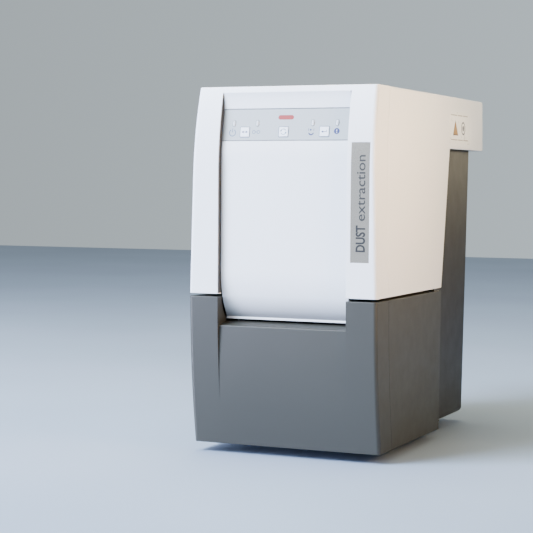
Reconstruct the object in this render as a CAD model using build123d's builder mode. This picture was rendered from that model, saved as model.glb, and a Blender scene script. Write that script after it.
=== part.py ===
"""Bench-top dust extraction unit for a dental milling machine, as an assembly of separate pieces.

Frame: millimetres, +Z up, the front with the dust drawer faces -Y, and +X is on the right hand of
someone who stands in front. The origin is on the surface that the feet stand on, under the middle of
the overall width and depth.
"""

from math import atan2, cos, pi, radians, sin, sqrt
import os

from build123d import *

# ---------------------------------------------------------------- driving dimensions
overall_width = 288.0  # at the seam between the white covers and the grey base, and below it
top_width = 274.0  # the white covers lean inwards to this width
overall_height = 530.0
overall_depth = 532.0
wall = 3.5  # moulded covers
sheet = 3.0  # chassis plates
board_thick = 1.6
corner_radius = 5.0  # upright front corners
top_radius = 3.0
edge_radius = 1.2  # small rounding of moulded edges
seam_radius = 0.8  # rounding of the edges along the seams
seat_gap = 0.3  # between pieces that seat on each other but belong to different bodies
running_gap = 0.5  # between sliding or turning pieces

lower_bottom = 14.0  # underside of the grey front and side panels
seam_height = 233.0  # lower edge of the white covers
seam_gap = 4.0  # shadow gap between white and grey
crown_height = 128.0  # the front face leans back over this height below the top
crown_radius = 450.0  # side profile of the front face over that height
belly_radius = 1209.0  # side profile of the front face below seam_height
return_depth = 50.0  # how far the front mouldings reach back round the sides
side_seam = 0.8  # gap between front mouldings and the covers behind them

recess_half = 98.5  # half width of the sunk centre panel
recess_depth = 8.5
recess_drop = 8.5  # from the top of the covers to where the centre panel starts to sink
keypad_drop = 31.5  # from the top of the covers to the keypad's upper edge
keypad_rise = 46.5  # height of the keypad
keypad_low_depth = 10.5
keypad_high_depth = 17.8
keypad_pocket = 1.5
keypad_thick = 1.0
groove_width = 1.4  # shadow groove between the sunk centre panel and the pillars
groove_depth = 1.8
bend_drop = 22.0  # the centre panel starts to lean back this far below the keypad
tongue_radius = 112.0  # the centre panel curls back over the drawer's grip recess
tongue_over = 32.0  # the curl starts this far above the seam
tongue_under = 34.0  # and ends this far below it
tongue_lip = 3.0
tongue_side_gap = 1.2

pocket_clearance = 3.4  # between the bead of the curl and the drawer's grip recess
pocket_slope = 5.1  # fall of the grip recess from back to front
pocket_back_depth = 33.0
pocket_gap = 4.0  # shadow gap between the curl and the walls round it
panel_sink = 4.5  # sink of the drawer's centre panel under the grip recess
panel_fade = 78.0  # height at which that sink has run out
panel_ease = 0.3  # share of that sink that is left half-way down

notch_drop = 82.0  # from the top of the covers to the underside of the rear overhang
notch_top_depth = 346.0
notch_low_depth = 294.0
panel_low_depth = 289.0  # rear edge of the grey side panel at its bottom
overhang_rake = 2.0  # the overhang's rear face is this much shorter at its lower edge

housing_half = 125.0
housing_wall = 4.0
housing_front = 75.0
housing_bottom = 17.0
housing_drop = 27.0  # from the top of the covers to the housing's top edge
housing_rear_low = 485.0  # depth of the rear face at housing_bottom
housing_rear_high = 510.0  # and at the underside of the overhang
housing_corner = 16.0

deck_height = 236.0
bulkhead_depth = 318.0
plenum_rise = 93.0  # clean-air space above the filter
shelf_height = 188.0

runner_space = 17.0  # between the tub and the housing's inner face
tub_front = 80.0
tub_low = 36.0
tub_drop = 48.0  # from the filter deck to the tub's rim
tub_wall = 3.0
tub_screw_inset = 24.0  # from the side of the tub to its screws
tub_screw_heights = (60.0, 146.0)
tub_screw_radius = 2.0

pipe_outer = 25.0
pipe_bore = 22.5
pipe_flange = 34.0
pipe_height = 276.0
pipe_length_out = 29.0

turbine_side = 25.0
turbine_room = 78.0  # from the bulkhead to the turbine's axis
shaft_radius = 5.0

foot_radius = 15.0
stud_radius = 3.0
case_screw_radius = 1.5

plate_drop = 80.5  # label plate on the right-hand pillar
plate_length = 166.5
plate_margin = 6.0
plate_edge = 12.0
plate_thick = 0.6
post_rises = (29.0, 229.0)  # posts of the front cover, above the seam

# ---------------------------------------------------------------- derived values
front_y = -overall_depth / 2
half_width = overall_width / 2
lower_top = seam_height - seam_gap
upright_top = overall_height - crown_height
recess_top = overall_height - recess_drop
keypad_high = overall_height - keypad_drop
keypad_low = keypad_high - keypad_rise
bend_start = keypad_low - bend_drop
tongue_start = seam_height + tongue_over
tongue_end = seam_height - tongue_under
pocket_back_height = tongue_end - tongue_lip - pocket_clearance
pocket_front_height = pocket_back_height - pocket_slope
notch_top = overall_height - notch_drop
overhang_low_depth = overall_depth - overhang_rake
inner_half = housing_half - housing_wall
housing_top = overall_height - housing_drop
plenum_height = housing_top - plenum_rise
tub_half = inner_half - runner_space
tub_screw_half = tub_half - tub_screw_inset
tub_back = bulkhead_depth - 18.0
tub_high = deck_height - tub_drop
rear_flat = housing_half - housing_corner  # half width of the flat part of the rear face
pipe_side = -(rear_flat - 3.0 - pipe_flange)
turbine_depth = bulkhead_depth + turbine_room
plate_high = overall_height - plate_drop
plate_low = plate_high - plate_length
plate_left = recess_half + plate_margin
plate_right = half_width - plate_edge
post_half = inner_half - 9.0
post_heights = [seam_height + rise for rise in post_rises]
side_lean = atan2((overall_width - top_width) / 2, overall_height - seam_height)
rear_lean = atan2(housing_rear_high - housing_rear_low, notch_top - housing_bottom)
os.makedirs("parts", exist_ok=True)


def depth(value):
    """Y of a point that lies value behind the foremost plane."""
    return front_y + value


front_foot_half = inner_half - foot_radius - 8
rear_foot_half = inner_half - foot_radius - 28
foot_places = [(side * front_foot_half, depth(housing_front + 53)) for side in (-1, 1)]
foot_places += [(side * rear_foot_half, depth(housing_rear_low - 33)) for side in (-1, 1)]


def setback(z):
    """How far the front face lies behind the foremost plane at height z."""
    if z > upright_top:
        return crown_radius - sqrt(crown_radius**2 - (z - upright_top) ** 2)
    if z < seam_height:
        return belly_radius - sqrt(belly_radius**2 - (seam_height - z) ** 2)
    return 0.0


def rear_face(z):
    """Depth of the rear housing's leaning rear face at height z."""
    return housing_rear_low + (z - housing_bottom) * sin(rear_lean) / cos(rear_lean)


def tongue_depth(z):
    """Depth of the curled centre panel at height z, below tongue_start."""
    return recess_depth + tongue_radius - sqrt(tongue_radius**2 - (tongue_start - z) ** 2)


def centre_face(z):
    """How far the drawer's centre panel lies behind the foremost plane, at most, at height z."""
    rise = (z - panel_fade) / (pocket_front_height - panel_fade)
    return setback(z) + panel_sink * min(1.0, max(0.0, rise))


def side_half(z):
    """Half of the outer width of the covers at height z."""
    return half_width - max(0.0, z - seam_height) * sin(side_lean) / cos(side_lean)


def save(part, name):
    """Labels a finished piece and writes its STEP file."""
    part.label = name
    export_step(part, f"parts/{name}.step")


def face_curve(z_low, z_high, back=0.0):
    """Adds the front face's side profile between two heights to the line being built, moved back."""
    stops = [z_low] + [z for z in (seam_height, upright_top) if z_low < z < z_high] + [z_high]
    for low, high in zip(stops, stops[1:]):
        start, end = (depth(setback(low) + back), low), (depth(setback(high) + back), high)
        if low >= seam_height and high <= upright_top:
            Line(start, end)
        else:
            middle = (low + high) / 2
            ThreePointArc(start, (depth(setback(middle) + back), middle), end)


def front_block(z_low, z_high, back_from, back_to):
    """Adds the side outline of a front moulding: the face profile, its copy behind, and two ends."""
    face_curve(z_low, z_high, back_from)
    face_curve(z_low, z_high, back_to)
    for z in (z_low, z_high):
        Line((depth(setback(z) + back_from), z), (depth(setback(z) + back_to), z))


def cover_outline(z_low, z_high, inset=0.0):
    """Adds the covers' outline seen from the front, between two heights, moved inwards by inset."""
    Polygon(
        (-side_half(z_low) + inset, z_low),
        (side_half(z_low) - inset, z_low),
        (side_half(z_high) - inset, z_high),
        (-side_half(z_high) + inset, z_high),
        align=None,
    )


def recess_curve(back=0.0):
    """Adds the sunk centre's side profile, from its top edge to tongue_start, moved back."""
    crest = (depth(setback(recess_top) + back), recess_top)
    ledge = (depth(keypad_high_depth + back), keypad_high)
    pocket_high = (depth(keypad_high_depth + keypad_pocket + back), keypad_high)
    pocket_low = (depth(keypad_low_depth + keypad_pocket + back), keypad_low)
    brow = (depth(keypad_low_depth + back), keypad_low)
    bend = (depth(recess_depth + back), bend_start)
    Spline(crest, ledge, tangents=((0.35, -1), (-0.05, -1)))
    Polyline(ledge, pocket_high, pocket_low, brow)
    Spline(brow, bend, tangents=((-0.16, -1), (0, -1)))
    Line(bend, (depth(recess_depth + back), tongue_start))


def tongue_curve(z_end, back=0.0):
    """Adds the curled end of the centre panel, from tongue_start down to z_end, moved back."""
    middle = (tongue_start + z_end) / 2
    ThreePointArc(
        (depth(recess_depth + back), tongue_start),
        (depth(tongue_depth(middle) + back), middle),
        (depth(tongue_depth(z_end) + back), z_end),
    )


# The keypad lies in this plane: origin at its centre, local x along +X, local y up its slope.
keypad_lean = atan2(keypad_high_depth - keypad_low_depth, keypad_high - keypad_low)
keypad_height = (keypad_high - keypad_low) / cos(keypad_lean)
keypad_plane = Plane(
    origin=(
        0,
        depth((keypad_high_depth + keypad_low_depth) / 2 + keypad_pocket),
        (keypad_high + keypad_low) / 2,
    ),
    x_dir=(1, 0, 0),
    z_dir=(0, -cos(keypad_lean), sin(keypad_lean)),
)
key_places = [(-62.5, -10.5), (-2.5, -10.5), (59.5, -10.5)]
led_places = [(-80.0, 2.0), (-43.5, 2.0), (41.5, 2.0), (78.5, 2.0)]
key_size = 13.5
key_gap = 0.4
key_travel = 0.5
stem_radius = 2.2
led_width = 4.4
led_height = 8.4


def rear_plane(x, z):
    """A plane on the rear housing's rear face: local x along +X, local y up its slope, normal outwards.

    Its local x runs towards -X, so that local z points out of the housing."""
    return Plane(
        origin=(x, depth(rear_face(z)), z),
        x_dir=(-1, 0, 0),
        z_dir=(0, cos(rear_lean), -sin(rear_lean)),
    )


# ---------------------------------------------------------------- front cover
with BuildPart() as cover_cavity:
    with BuildSketch(Plane.YZ):
        with BuildLine():
            front_block(seam_height, overall_height - wall, wall, return_depth + wall)
        make_face()
    extrude(amount=overall_width, both=True)
    with BuildSketch(Plane.XZ):
        cover_outline(seam_height, overall_height, inset=wall)
    extrude(amount=overall_depth, both=True, mode=Mode.INTERSECT)
    with BuildSketch(Plane.YZ):
        with BuildLine():
            recess_curve(wall)
            Polyline(
                (depth(recess_depth + wall), tongue_start),
                (depth(recess_depth + wall), seam_height),
                (depth(-wall), seam_height),
                (depth(-wall), recess_top),
                (depth(setback(recess_top) + wall), recess_top),
            )
        make_face()
    extrude(amount=recess_half + wall, both=True, mode=Mode.SUBTRACT)

with BuildPart() as front_cover:
    with BuildSketch(Plane.YZ):
        with BuildLine():
            front_block(seam_height, overall_height, 0, return_depth)
        make_face()
    extrude(amount=overall_width, both=True)
    with BuildSketch(Plane.XZ):
        cover_outline(seam_height, overall_height)
    extrude(amount=overall_depth, both=True, mode=Mode.INTERSECT)
    upright_edges = front_cover.edges().filter_by(
        lambda e: abs(e.center().X) > top_width / 2 - corner_radius
        and e.center().Y < depth(return_depth / 2 - 1)
        and abs(e.bounding_box().size.Z) > corner_radius
    )
    fillet(upright_edges, corner_radius)
    top_edges = front_cover.edges().filter_by(
        lambda e: e.center().Z > overall_height - corner_radius
        and abs(e.center().X) > top_width / 2 - corner_radius
    )
    fillet(top_edges, edge_radius)
    with BuildSketch(Plane.YZ):
        with BuildLine():
            recess_curve()
            Polyline(
                (depth(recess_depth), tongue_start),
                (depth(recess_depth + 2 * wall), tongue_start),
                (depth(recess_depth + 2 * wall), seam_height),
                (depth(-wall), seam_height),
                (depth(-wall), recess_top),
                (depth(setback(recess_top)), recess_top),
            )
        make_face()
    extrude(amount=recess_half, both=True, mode=Mode.SUBTRACT)
    add(cover_cavity.part, mode=Mode.SUBTRACT)
    # shadow grooves along both sides of the centre panel
    for side in (-1, 1):
        with BuildSketch(Plane.YZ.offset(side * (recess_half - groove_width))):
            with BuildLine():
                recess_curve(groove_depth)
                Polyline(
                    (depth(recess_depth + groove_depth), tongue_start),
                    (depth(-wall), tongue_start),
                    (depth(-wall), recess_top),
                    (depth(setback(recess_top) + groove_depth), recess_top),
                )
            make_face()
        extrude(amount=side * groove_width, mode=Mode.SUBTRACT)
    fillet(
        front_cover.edges().filter_by(
            lambda e: e.center().Z < seam_height + 0.1
            and e.length > return_depth / 5
            and (e.center().Y < depth(0.1) or abs(e.center().X) > half_width - 0.1)
        ),
        seam_radius,
    )
    # the curled end of the centre panel, with the bead along its lower edge
    with BuildSketch(Plane.YZ):
        with BuildLine():
            tongue_curve(tongue_end)
            tongue_curve(tongue_end, wall)
            Line((depth(recess_depth), tongue_start), (depth(recess_depth + wall), tongue_start))
            Polyline(
                (depth(tongue_depth(tongue_end)), tongue_end),
                (depth(tongue_depth(tongue_end) - 1.2), tongue_end - 0.8),
                (depth(tongue_depth(tongue_end) - 1.2), tongue_end - tongue_lip),
                (depth(tongue_depth(tongue_end) + wall), tongue_end - tongue_lip),
                (depth(tongue_depth(tongue_end) + wall), tongue_end),
            )
        make_face()
    extrude(amount=recess_half - tongue_side_gap, both=True)
    # posts that stand the cover on the chassis
    for post_z in post_heights:
        with BuildSketch(Plane.XZ.offset(-depth(setback(post_z) + wall / 2))):
            with Locations((-post_half, post_z), (post_half, post_z)):
                Circle(6)
        extrude(amount=-(housing_front - setback(post_z) - wall / 2))
    with BuildSketch(Plane.XZ.offset(-depth(housing_front))):
        for post_z in post_heights:
            with Locations((-post_half, post_z), (post_half, post_z)):
                Circle(case_screw_radius + 0.1)
    extrude(amount=10, mode=Mode.SUBTRACT)
    # shallow seat for the label plate
    with BuildSketch(Plane.YZ.offset(plate_left)):
        with BuildLine():
            front_block(plate_low, plate_high, -wall, plate_thick)
        make_face()
    extrude(amount=plate_right - plate_left, mode=Mode.SUBTRACT)
    # guide holes for the key stems, and windows for the light pipes
    with BuildSketch(keypad_plane):
        with Locations(*key_places):
            Circle(stem_radius + running_gap)
        with Locations(*led_places):
            SlotOverall(led_height + key_gap, led_width + key_gap, rotation=90)
    extrude(amount=wall * 2, both=True, mode=Mode.SUBTRACT)
save(front_cover.part, "front_cover")

# ---------------------------------------------------------------- keypad, keys and light pipes
with BuildPart() as keypad_foil:
    with BuildSketch(keypad_plane):
        Rectangle(2 * (recess_half - groove_width - seat_gap), keypad_height - 1.0)
        with Locations(*key_places):
            RectangleRounded(key_size + 2 * key_gap, key_size + 2 * key_gap, 1.2, mode=Mode.SUBTRACT)
        with Locations(*led_places):
            SlotOverall(led_height + key_gap, led_width + key_gap, rotation=90, mode=Mode.SUBTRACT)
    extrude(amount=keypad_thick)
save(keypad_foil.part, "keypad_foil")

key_proud = 0.9  # how far a key stands above the foil at rest
board_gap = 5.0  # from the back of the front cover to the control board
switch_height = 3.6
for name, place in zip(("key_select", "key_start", "key_enter"), key_places):
    with BuildPart() as key:
        with BuildSketch(keypad_plane.offset(key_travel + 0.1)):
            with Locations(place):
                RectangleRounded(key_size, key_size, 1.0)
        extrude(amount=keypad_thick + key_proud - key_travel - 0.1)
        fillet(key.faces().sort_by(Axis(keypad_plane.origin, keypad_plane.z_dir))[-1].edges(), 0.3)
        with BuildSketch(keypad_plane.offset(-(wall + board_gap - switch_height - key_travel - 0.2))):
            with Locations(place):
                Circle(stem_radius)
        extrude(amount=wall + board_gap - switch_height)
    save(key.part, name)

with BuildPart() as light_pipes:
    with BuildSketch(keypad_plane.offset(-wall)):
        with Locations(*led_places):
            SlotOverall(led_height, led_width, rotation=90)
    extrude(amount=wall + keypad_thick + 0.2)
save(light_pipes.part, "light_pipes")

board_size = (176.0, 40.0)
with BuildPart() as control_board:
    with BuildSketch(keypad_plane.offset(-(wall + board_gap + board_thick))):
        Rectangle(*board_size)
        with GridLocations(board_size[0] - 10, board_size[1] - 10, 2, 2):
            Circle(1.6, mode=Mode.SUBTRACT)
    extrude(amount=board_thick)
    # push switches under the keys
    with BuildSketch(keypad_plane.offset(-(wall + board_gap))):
        with Locations(*key_places):
            Rectangle(6, 6)
    extrude(amount=2.4)
    with BuildSketch(keypad_plane.offset(-(wall + board_gap - 2.4))):
        with Locations(*key_places):
            Circle(1.7)
    extrude(amount=switch_height - 2.4)
save(control_board.part, "control_board")

# ---------------------------------------------------------------- label plate on the right-hand pillar
with BuildPart() as front_label:
    with BuildSketch(Plane.YZ.offset(plate_left)):
        with BuildLine():
            front_block(plate_low, plate_high, 0, plate_thick)
        make_face()
    extrude(amount=plate_right - plate_left)
save(front_label.part, "front_label")

# ---------------------------------------------------------------- hood
hood_front_low = return_depth + side_seam


def hood_outline(inset):
    """Adds the hood's side outline. With an inset it is the hollow: open in front and below."""
    low, high = seam_height - inset, overall_height - inset
    lean = (notch_top_depth - notch_low_depth) / (notch_top - seam_height)
    front = hood_front_low - inset
    under = notch_top - inset
    inner = notch_top_depth - inset - lean * inset
    face_curve(seam_height, high, front)
    Polyline(
        (depth(setback(high) + front), high),
        (depth(overall_depth - inset), high),
        (depth(overhang_low_depth - inset), under),
        (depth(inner), under),
        (depth(inner - lean * (under - low)), low),
        (depth(front), low),
    )
    if inset:
        Line((depth(front), low), (depth(front), seam_height))


with BuildPart() as hood_cavity:
    with BuildSketch(Plane.YZ):
        with BuildLine():
            hood_outline(wall)
        make_face()
    extrude(amount=overall_width, both=True)
    with BuildSketch(Plane.XZ):
        cover_outline(seam_height - 2 * wall, overall_height, inset=wall)
    extrude(amount=overall_depth, both=True, mode=Mode.INTERSECT)

housing_outline_top = housing_top + 2
with BuildPart() as hood:
    with BuildSketch(Plane.YZ):
        with BuildLine():
            hood_outline(0)
        make_face()
    extrude(amount=overall_width, both=True)
    with BuildSketch(Plane.XZ):
        cover_outline(seam_height, overall_height)
    extrude(amount=overall_depth, both=True, mode=Mode.INTERSECT)
    fillet(
        hood.edges().filter_by(
            lambda e: e.center().Z > overall_height - 1 and e.center().Y > depth(overall_depth / 4)
        ),
        top_radius,
    )
    fillet(
        hood.edges().filter_by(
            lambda e: abs(abs(e.center().X) - side_half(e.center().Z)) < 0.5
            and e.length > overall_depth / 10
            and e.center().Z < overall_height - 2 * top_radius
        ),
        seam_radius,
    )
    add(hood_cavity.part, mode=Mode.SUBTRACT)
    # way through for the rear housing, which closes the floor of the overhang behind it
    with BuildSketch(Plane.YZ):
        with BuildLine():
            Polyline(
                (depth(0), seam_height - wall),
                (depth(rear_face(seam_height - wall)), seam_height - wall),
                (depth(rear_face(housing_outline_top) + side_seam), housing_outline_top),
                (depth(0), housing_outline_top),
                close=True,
            )
        make_face()
    extrude(amount=housing_half, both=True, mode=Mode.SUBTRACT)
    # the hollow beside the housing stays open underneath
    with BuildSketch(Plane.XY.offset(notch_top - wall)):
        slot_front = depth(notch_top_depth + wall)
        slot_back = depth(rear_face(notch_top))
        for side in (-1, 1):
            with Locations((side * (housing_half + side_half(notch_top) - wall) / 2,
                            (slot_front + slot_back) / 2)):
                Rectangle(side_half(notch_top) - wall - housing_half, slot_back - slot_front)
    extrude(amount=2 * wall, mode=Mode.SUBTRACT)
    # posts that stand the hood on the housing's top plate
    with BuildSketch(Plane.XY.offset(housing_top)):
        for side in (-1, 1):
            with Locations(
                (side * (inner_half - 21), depth(housing_front + 55)),
                (side * (inner_half - 21), depth(housing_rear_low - 35)),
            ):
                Circle(6)
    extrude(amount=overall_height - wall - housing_top)
save(hood.part, "hood")

# ---------------------------------------------------------------- grey side panels
for name, side in (("left_side_panel", -1), ("right_side_panel", 1)):
    with BuildPart() as panel:
        with BuildSketch(Plane.YZ):
            with BuildLine():
                face_curve(lower_bottom, lower_top, hood_front_low)
                Polyline(
                    (depth(setback(lower_top) + hood_front_low), lower_top),
                    (depth(notch_low_depth), lower_top),
                    (depth(panel_low_depth), lower_bottom),
                    (depth(setback(lower_bottom) + hood_front_low), lower_bottom),
                )
            make_face()
        extrude(amount=side * half_width)
        fillet(panel.faces().sort_by(Axis.X)[0 if side < 0 else -1].edges(), seam_radius)
        with BuildSketch(Plane.YZ):
            with BuildLine():
                face_curve(lower_bottom + wall, lower_top, hood_front_low + wall)
                Polyline(
                    (depth(setback(lower_top) + hood_front_low + wall), lower_top),
                    (depth(notch_low_depth - wall), lower_top),
                    (depth(panel_low_depth - wall), lower_bottom + wall),
                    (depth(setback(lower_bottom + wall) + hood_front_low + wall), lower_bottom + wall),
                )
            make_face()
        extrude(amount=side * (half_width - wall), mode=Mode.SUBTRACT)
        with BuildSketch(Plane.YZ):
            with Locations((0, overall_height / 2)):
                Rectangle(overall_depth, overall_height)
        extrude(amount=side * housing_half, mode=Mode.SUBTRACT)
        # spacer tab that carries the white hood's edge
        with BuildSketch(Plane.YZ.offset(side * (half_width - wall))):
            with Locations((depth(notch_low_depth - 24), lower_top - 1 + seam_gap / 2)):
                Rectangle(16, seam_gap + 2 - seat_gap)
        extrude(amount=side * (wall - 1))
    save(panel.part, name)

# ---------------------------------------------------------------- drawer front
with BuildPart() as drawer_cavity:
    with BuildSketch(Plane.YZ):
        with BuildLine():
            front_block(lower_bottom + wall, lower_top - wall, wall, return_depth + wall)
        make_face()
    extrude(amount=half_width - wall, both=True)
    # what backs the grip recess and the sunk centre panel stays solid
    with BuildSketch(Plane.YZ):
        with BuildLine():
            rim = lower_top
            back_top = (depth(tongue_depth(rim) - pocket_gap), rim)
            back_mid_z = (rim + tongue_end) / 2
            back_low = (depth(tongue_depth(tongue_end) - pocket_gap), tongue_end)
            ThreePointArc(back_top, (depth(tongue_depth(back_mid_z) - pocket_gap), back_mid_z), back_low)
            Polyline(
                back_low,
                (depth(pocket_back_depth), pocket_back_height),
                (depth(pocket_back_depth), pocket_back_height - wall),
                (depth(setback(pocket_front_height) + panel_sink + wall), pocket_front_height - wall),
                (depth(setback(panel_fade) + wall), panel_fade),
                (depth(0), panel_fade),
                (depth(0), rim),
                back_top,
            )
        make_face()
    extrude(amount=recess_half + wall, both=True, mode=Mode.SUBTRACT)

with BuildPart() as drawer_front:
    with BuildSketch(Plane.YZ):
        with BuildLine():
            front_block(lower_bottom, lower_top, 0, return_depth)
        make_face()
    extrude(amount=half_width, both=True)
    fillet(
        drawer_front.edges().filter_by(
            lambda e: abs(e.center().X) > half_width - 1
            and e.center().Y < depth(return_depth / 2 - 1)
            and e.bounding_box().size.Z > corner_radius
        ),
        corner_radius,
    )
    # grip recess
    with BuildSketch(Plane.YZ):
        with BuildLine():
            Polyline(
                (depth(-wall), pocket_front_height),
                (depth(setback(pocket_front_height) + panel_sink), pocket_front_height),
                (depth(pocket_back_depth), pocket_back_height),
                (depth(return_depth + wall), pocket_back_height),
                (depth(return_depth + wall), lower_top + wall),
                (depth(-wall), lower_top + wall),
                close=True,
            )
        make_face()
    extrude(amount=recess_half, both=True, mode=Mode.SUBTRACT)
    # sunk centre panel, which runs out towards the bottom
    with BuildSketch(Plane.YZ):
        with BuildLine():
            panel_top = (depth(setback(pocket_front_height) + panel_sink), pocket_front_height)
            panel_low = (depth(setback(panel_fade) - 0.01), panel_fade)
            halfway = (pocket_front_height + panel_fade) / 2
            panel_middle = (depth(setback(halfway) + panel_ease * panel_sink), halfway)
            ThreePointArc(panel_top, panel_middle, panel_low)
            Polyline(panel_low, (depth(-wall), panel_fade), (depth(-wall), pocket_front_height), panel_top)
        make_face()
    extrude(amount=recess_half, both=True, mode=Mode.SUBTRACT)
    fillet(
        drawer_front.edges().filter_by(
            lambda e: abs(e.center().Z - pocket_front_height) < 0.1
            and e.length > recess_half
            and e.center().Y < depth(pocket_back_depth / 2)
        ),
        edge_radius,
    )
    fillet(
        drawer_front.edges().filter_by(
            lambda e: min(abs(e.center().Z - lower_top), abs(e.center().Z - lower_bottom)) < 0.1
            and e.length > corner_radius / 2
            and (e.center().Y < depth(setback(lower_bottom) + 1) or abs(e.center().X) > half_width - 0.1)
        ),
        seam_radius,
    )
    add(drawer_cavity.part, mode=Mode.SUBTRACT)
    # bosses that carry the tub
    for boss_z in tub_screw_heights:
        root = centre_face(boss_z) + wall / 2
        with BuildSketch(Plane.XZ.offset(-depth(root))):
            with Locations((-tub_screw_half, boss_z), (tub_screw_half, boss_z)):
                Circle(6)
        extrude(amount=-(tub_front - root))
    with BuildSketch(Plane.XZ.offset(-depth(tub_front))):
        for boss_z in tub_screw_heights:
            with Locations((-tub_screw_half, boss_z), (tub_screw_half, boss_z)):
                Circle(tub_screw_radius + 0.1)
    extrude(amount=10, mode=Mode.SUBTRACT)
save(drawer_front.part, "drawer_front")

# ---------------------------------------------------------------- dust tub
with BuildPart() as dust_tub:
    with BuildSketch(Plane.XY.offset(tub_low)):
        with Locations((0, depth((tub_front + tub_back) / 2))):
            RectangleRounded(2 * tub_half, tub_back - tub_front, 8)
    extrude(amount=tub_high - tub_low)
    fillet(dust_tub.faces().sort_by(Axis.Z)[0].edges(), 4)
    with BuildSketch(Plane.XY.offset(tub_low + tub_wall)):
        with Locations((0, depth((tub_front + tub_back) / 2))):
            RectangleRounded(2 * (tub_half - tub_wall), tub_back - tub_front - 2 * tub_wall, 5)
    extrude(amount=tub_high, mode=Mode.SUBTRACT)
    # notch in the rear rim, a pouring lip
    with BuildSketch(Plane.XZ.offset(-depth(tub_back - 2 * tub_wall))):
        with Locations((0, tub_high)):
            RectangleRounded(60, 12, 5)
    extrude(amount=-3 * tub_wall, mode=Mode.SUBTRACT)
    with BuildSketch(Plane.XZ.offset(-depth(tub_front))):
        for boss_z in tub_screw_heights:
            with Locations((-tub_screw_half, boss_z), (tub_screw_half, boss_z)):
                Circle(tub_screw_radius + 0.1)
    extrude(amount=-tub_wall, mode=Mode.SUBTRACT)
save(dust_tub.part, "dust_tub")


def screw(place, head_radius, head_height, shank_radius, shank_length):
    """Adds a pan-head screw at a plane's origin, its head on the side that the normal points to."""
    with BuildSketch(place) as head:
        Circle(head_radius)
    extrude(head.sketch, amount=head_height)
    with BuildSketch(place) as shank:
        Circle(shank_radius)
    extrude(shank.sketch, amount=-shank_length)
    with BuildSketch(place.offset(head_height)) as cross:
        Rectangle(head_radius * 1.1, head_radius * 0.28)
        Rectangle(head_radius * 0.28, head_radius * 1.1)
    extrude(cross.sketch, amount=-head_height * 0.5, mode=Mode.SUBTRACT)


# ---------------------------------------------------------------- telescopic drawer runners
runner_low = 86.0
runner_high = 130.0
runner_sheet = 1.6
runner_gap = 0.4
runner_front = housing_front + 5.0
runner_back = bulkhead_depth - 6.0


def channel(side, x_near, x_far, z_low, z_high, web_far, y_front, y_back):
    """Adds a C channel along Y: between two distances from the middle plane, its web near or far."""
    mouth = -1 if web_far else 1
    with BuildSketch(Plane.XZ.offset(-depth(y_front))) as section:
        with Locations((side * (x_near + x_far) / 2, (z_low + z_high) / 2)):
            Rectangle(x_far - x_near, z_high - z_low)
        with Locations((side * ((x_near + x_far) / 2 + mouth * runner_sheet), (z_low + z_high) / 2)):
            Rectangle(x_far - x_near, z_high - z_low - 2 * runner_sheet, mode=Mode.SUBTRACT)
    extrude(section.sketch, amount=-(y_back - y_front))


step_in = runner_sheet + runner_gap
with BuildPart() as runner_outer:
    for side in (-1, 1):
        channel(side, tub_half + 6, inner_half, runner_low, runner_high, True, runner_front, runner_back)
save(runner_outer.part, "runner_outer")
with BuildPart() as runner_middle:
    for side in (-1, 1):
        channel(side, tub_half + 4, inner_half - step_in, runner_low + step_in, runner_high - step_in, True,
                runner_front + 2, runner_back - 6)
save(runner_middle.part, "runner_middle")
with BuildPart() as runner_inner:
    for side in (-1, 1):
        channel(side, tub_half, inner_half - 2 * step_in, runner_low + 2 * step_in,
                runner_high - 2 * step_in, False, runner_front + 4, tub_back - 12)
save(runner_inner.part, "runner_inner")

# ---------------------------------------------------------------- rear housing
grille_size = (150.0, 110.0)
grille_rim = 7.0
grille_centre = (rear_flat - grille_size[0] / 2 - 2 * grille_rim, 112.0)
panel_size = (176.0, 74.0)
panel_lap = (18.0, 16.0)  # how much the connector panel overlaps the housing, both sides together
panel_cut = (panel_size[0] - panel_lap[0], panel_size[1] - panel_lap[1])
panel_centre = (-(rear_flat - 1.0 - panel_size[0] / 2), notch_top - 60.0)
hollow_radius = housing_corner - housing_wall
with BuildPart() as housing_hollow:
    with BuildSketch(Plane.YZ):
        with BuildLine():
            Polyline(
                (depth(0), 0),
                (depth(rear_face(0) - housing_wall / cos(rear_lean)), 0),
                (depth(rear_face(overall_height) - housing_wall / cos(rear_lean)), overall_height),
                (depth(0), overall_height),
                close=True,
            )
        make_face()
    extrude(amount=inner_half, both=True)
    fillet(
        housing_hollow.edges().filter_by(
            lambda e: e.bounding_box().size.Z > overall_height / 2
            and e.center().Y > depth(overall_depth / 2)
        ),
        hollow_radius,
    )
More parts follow.
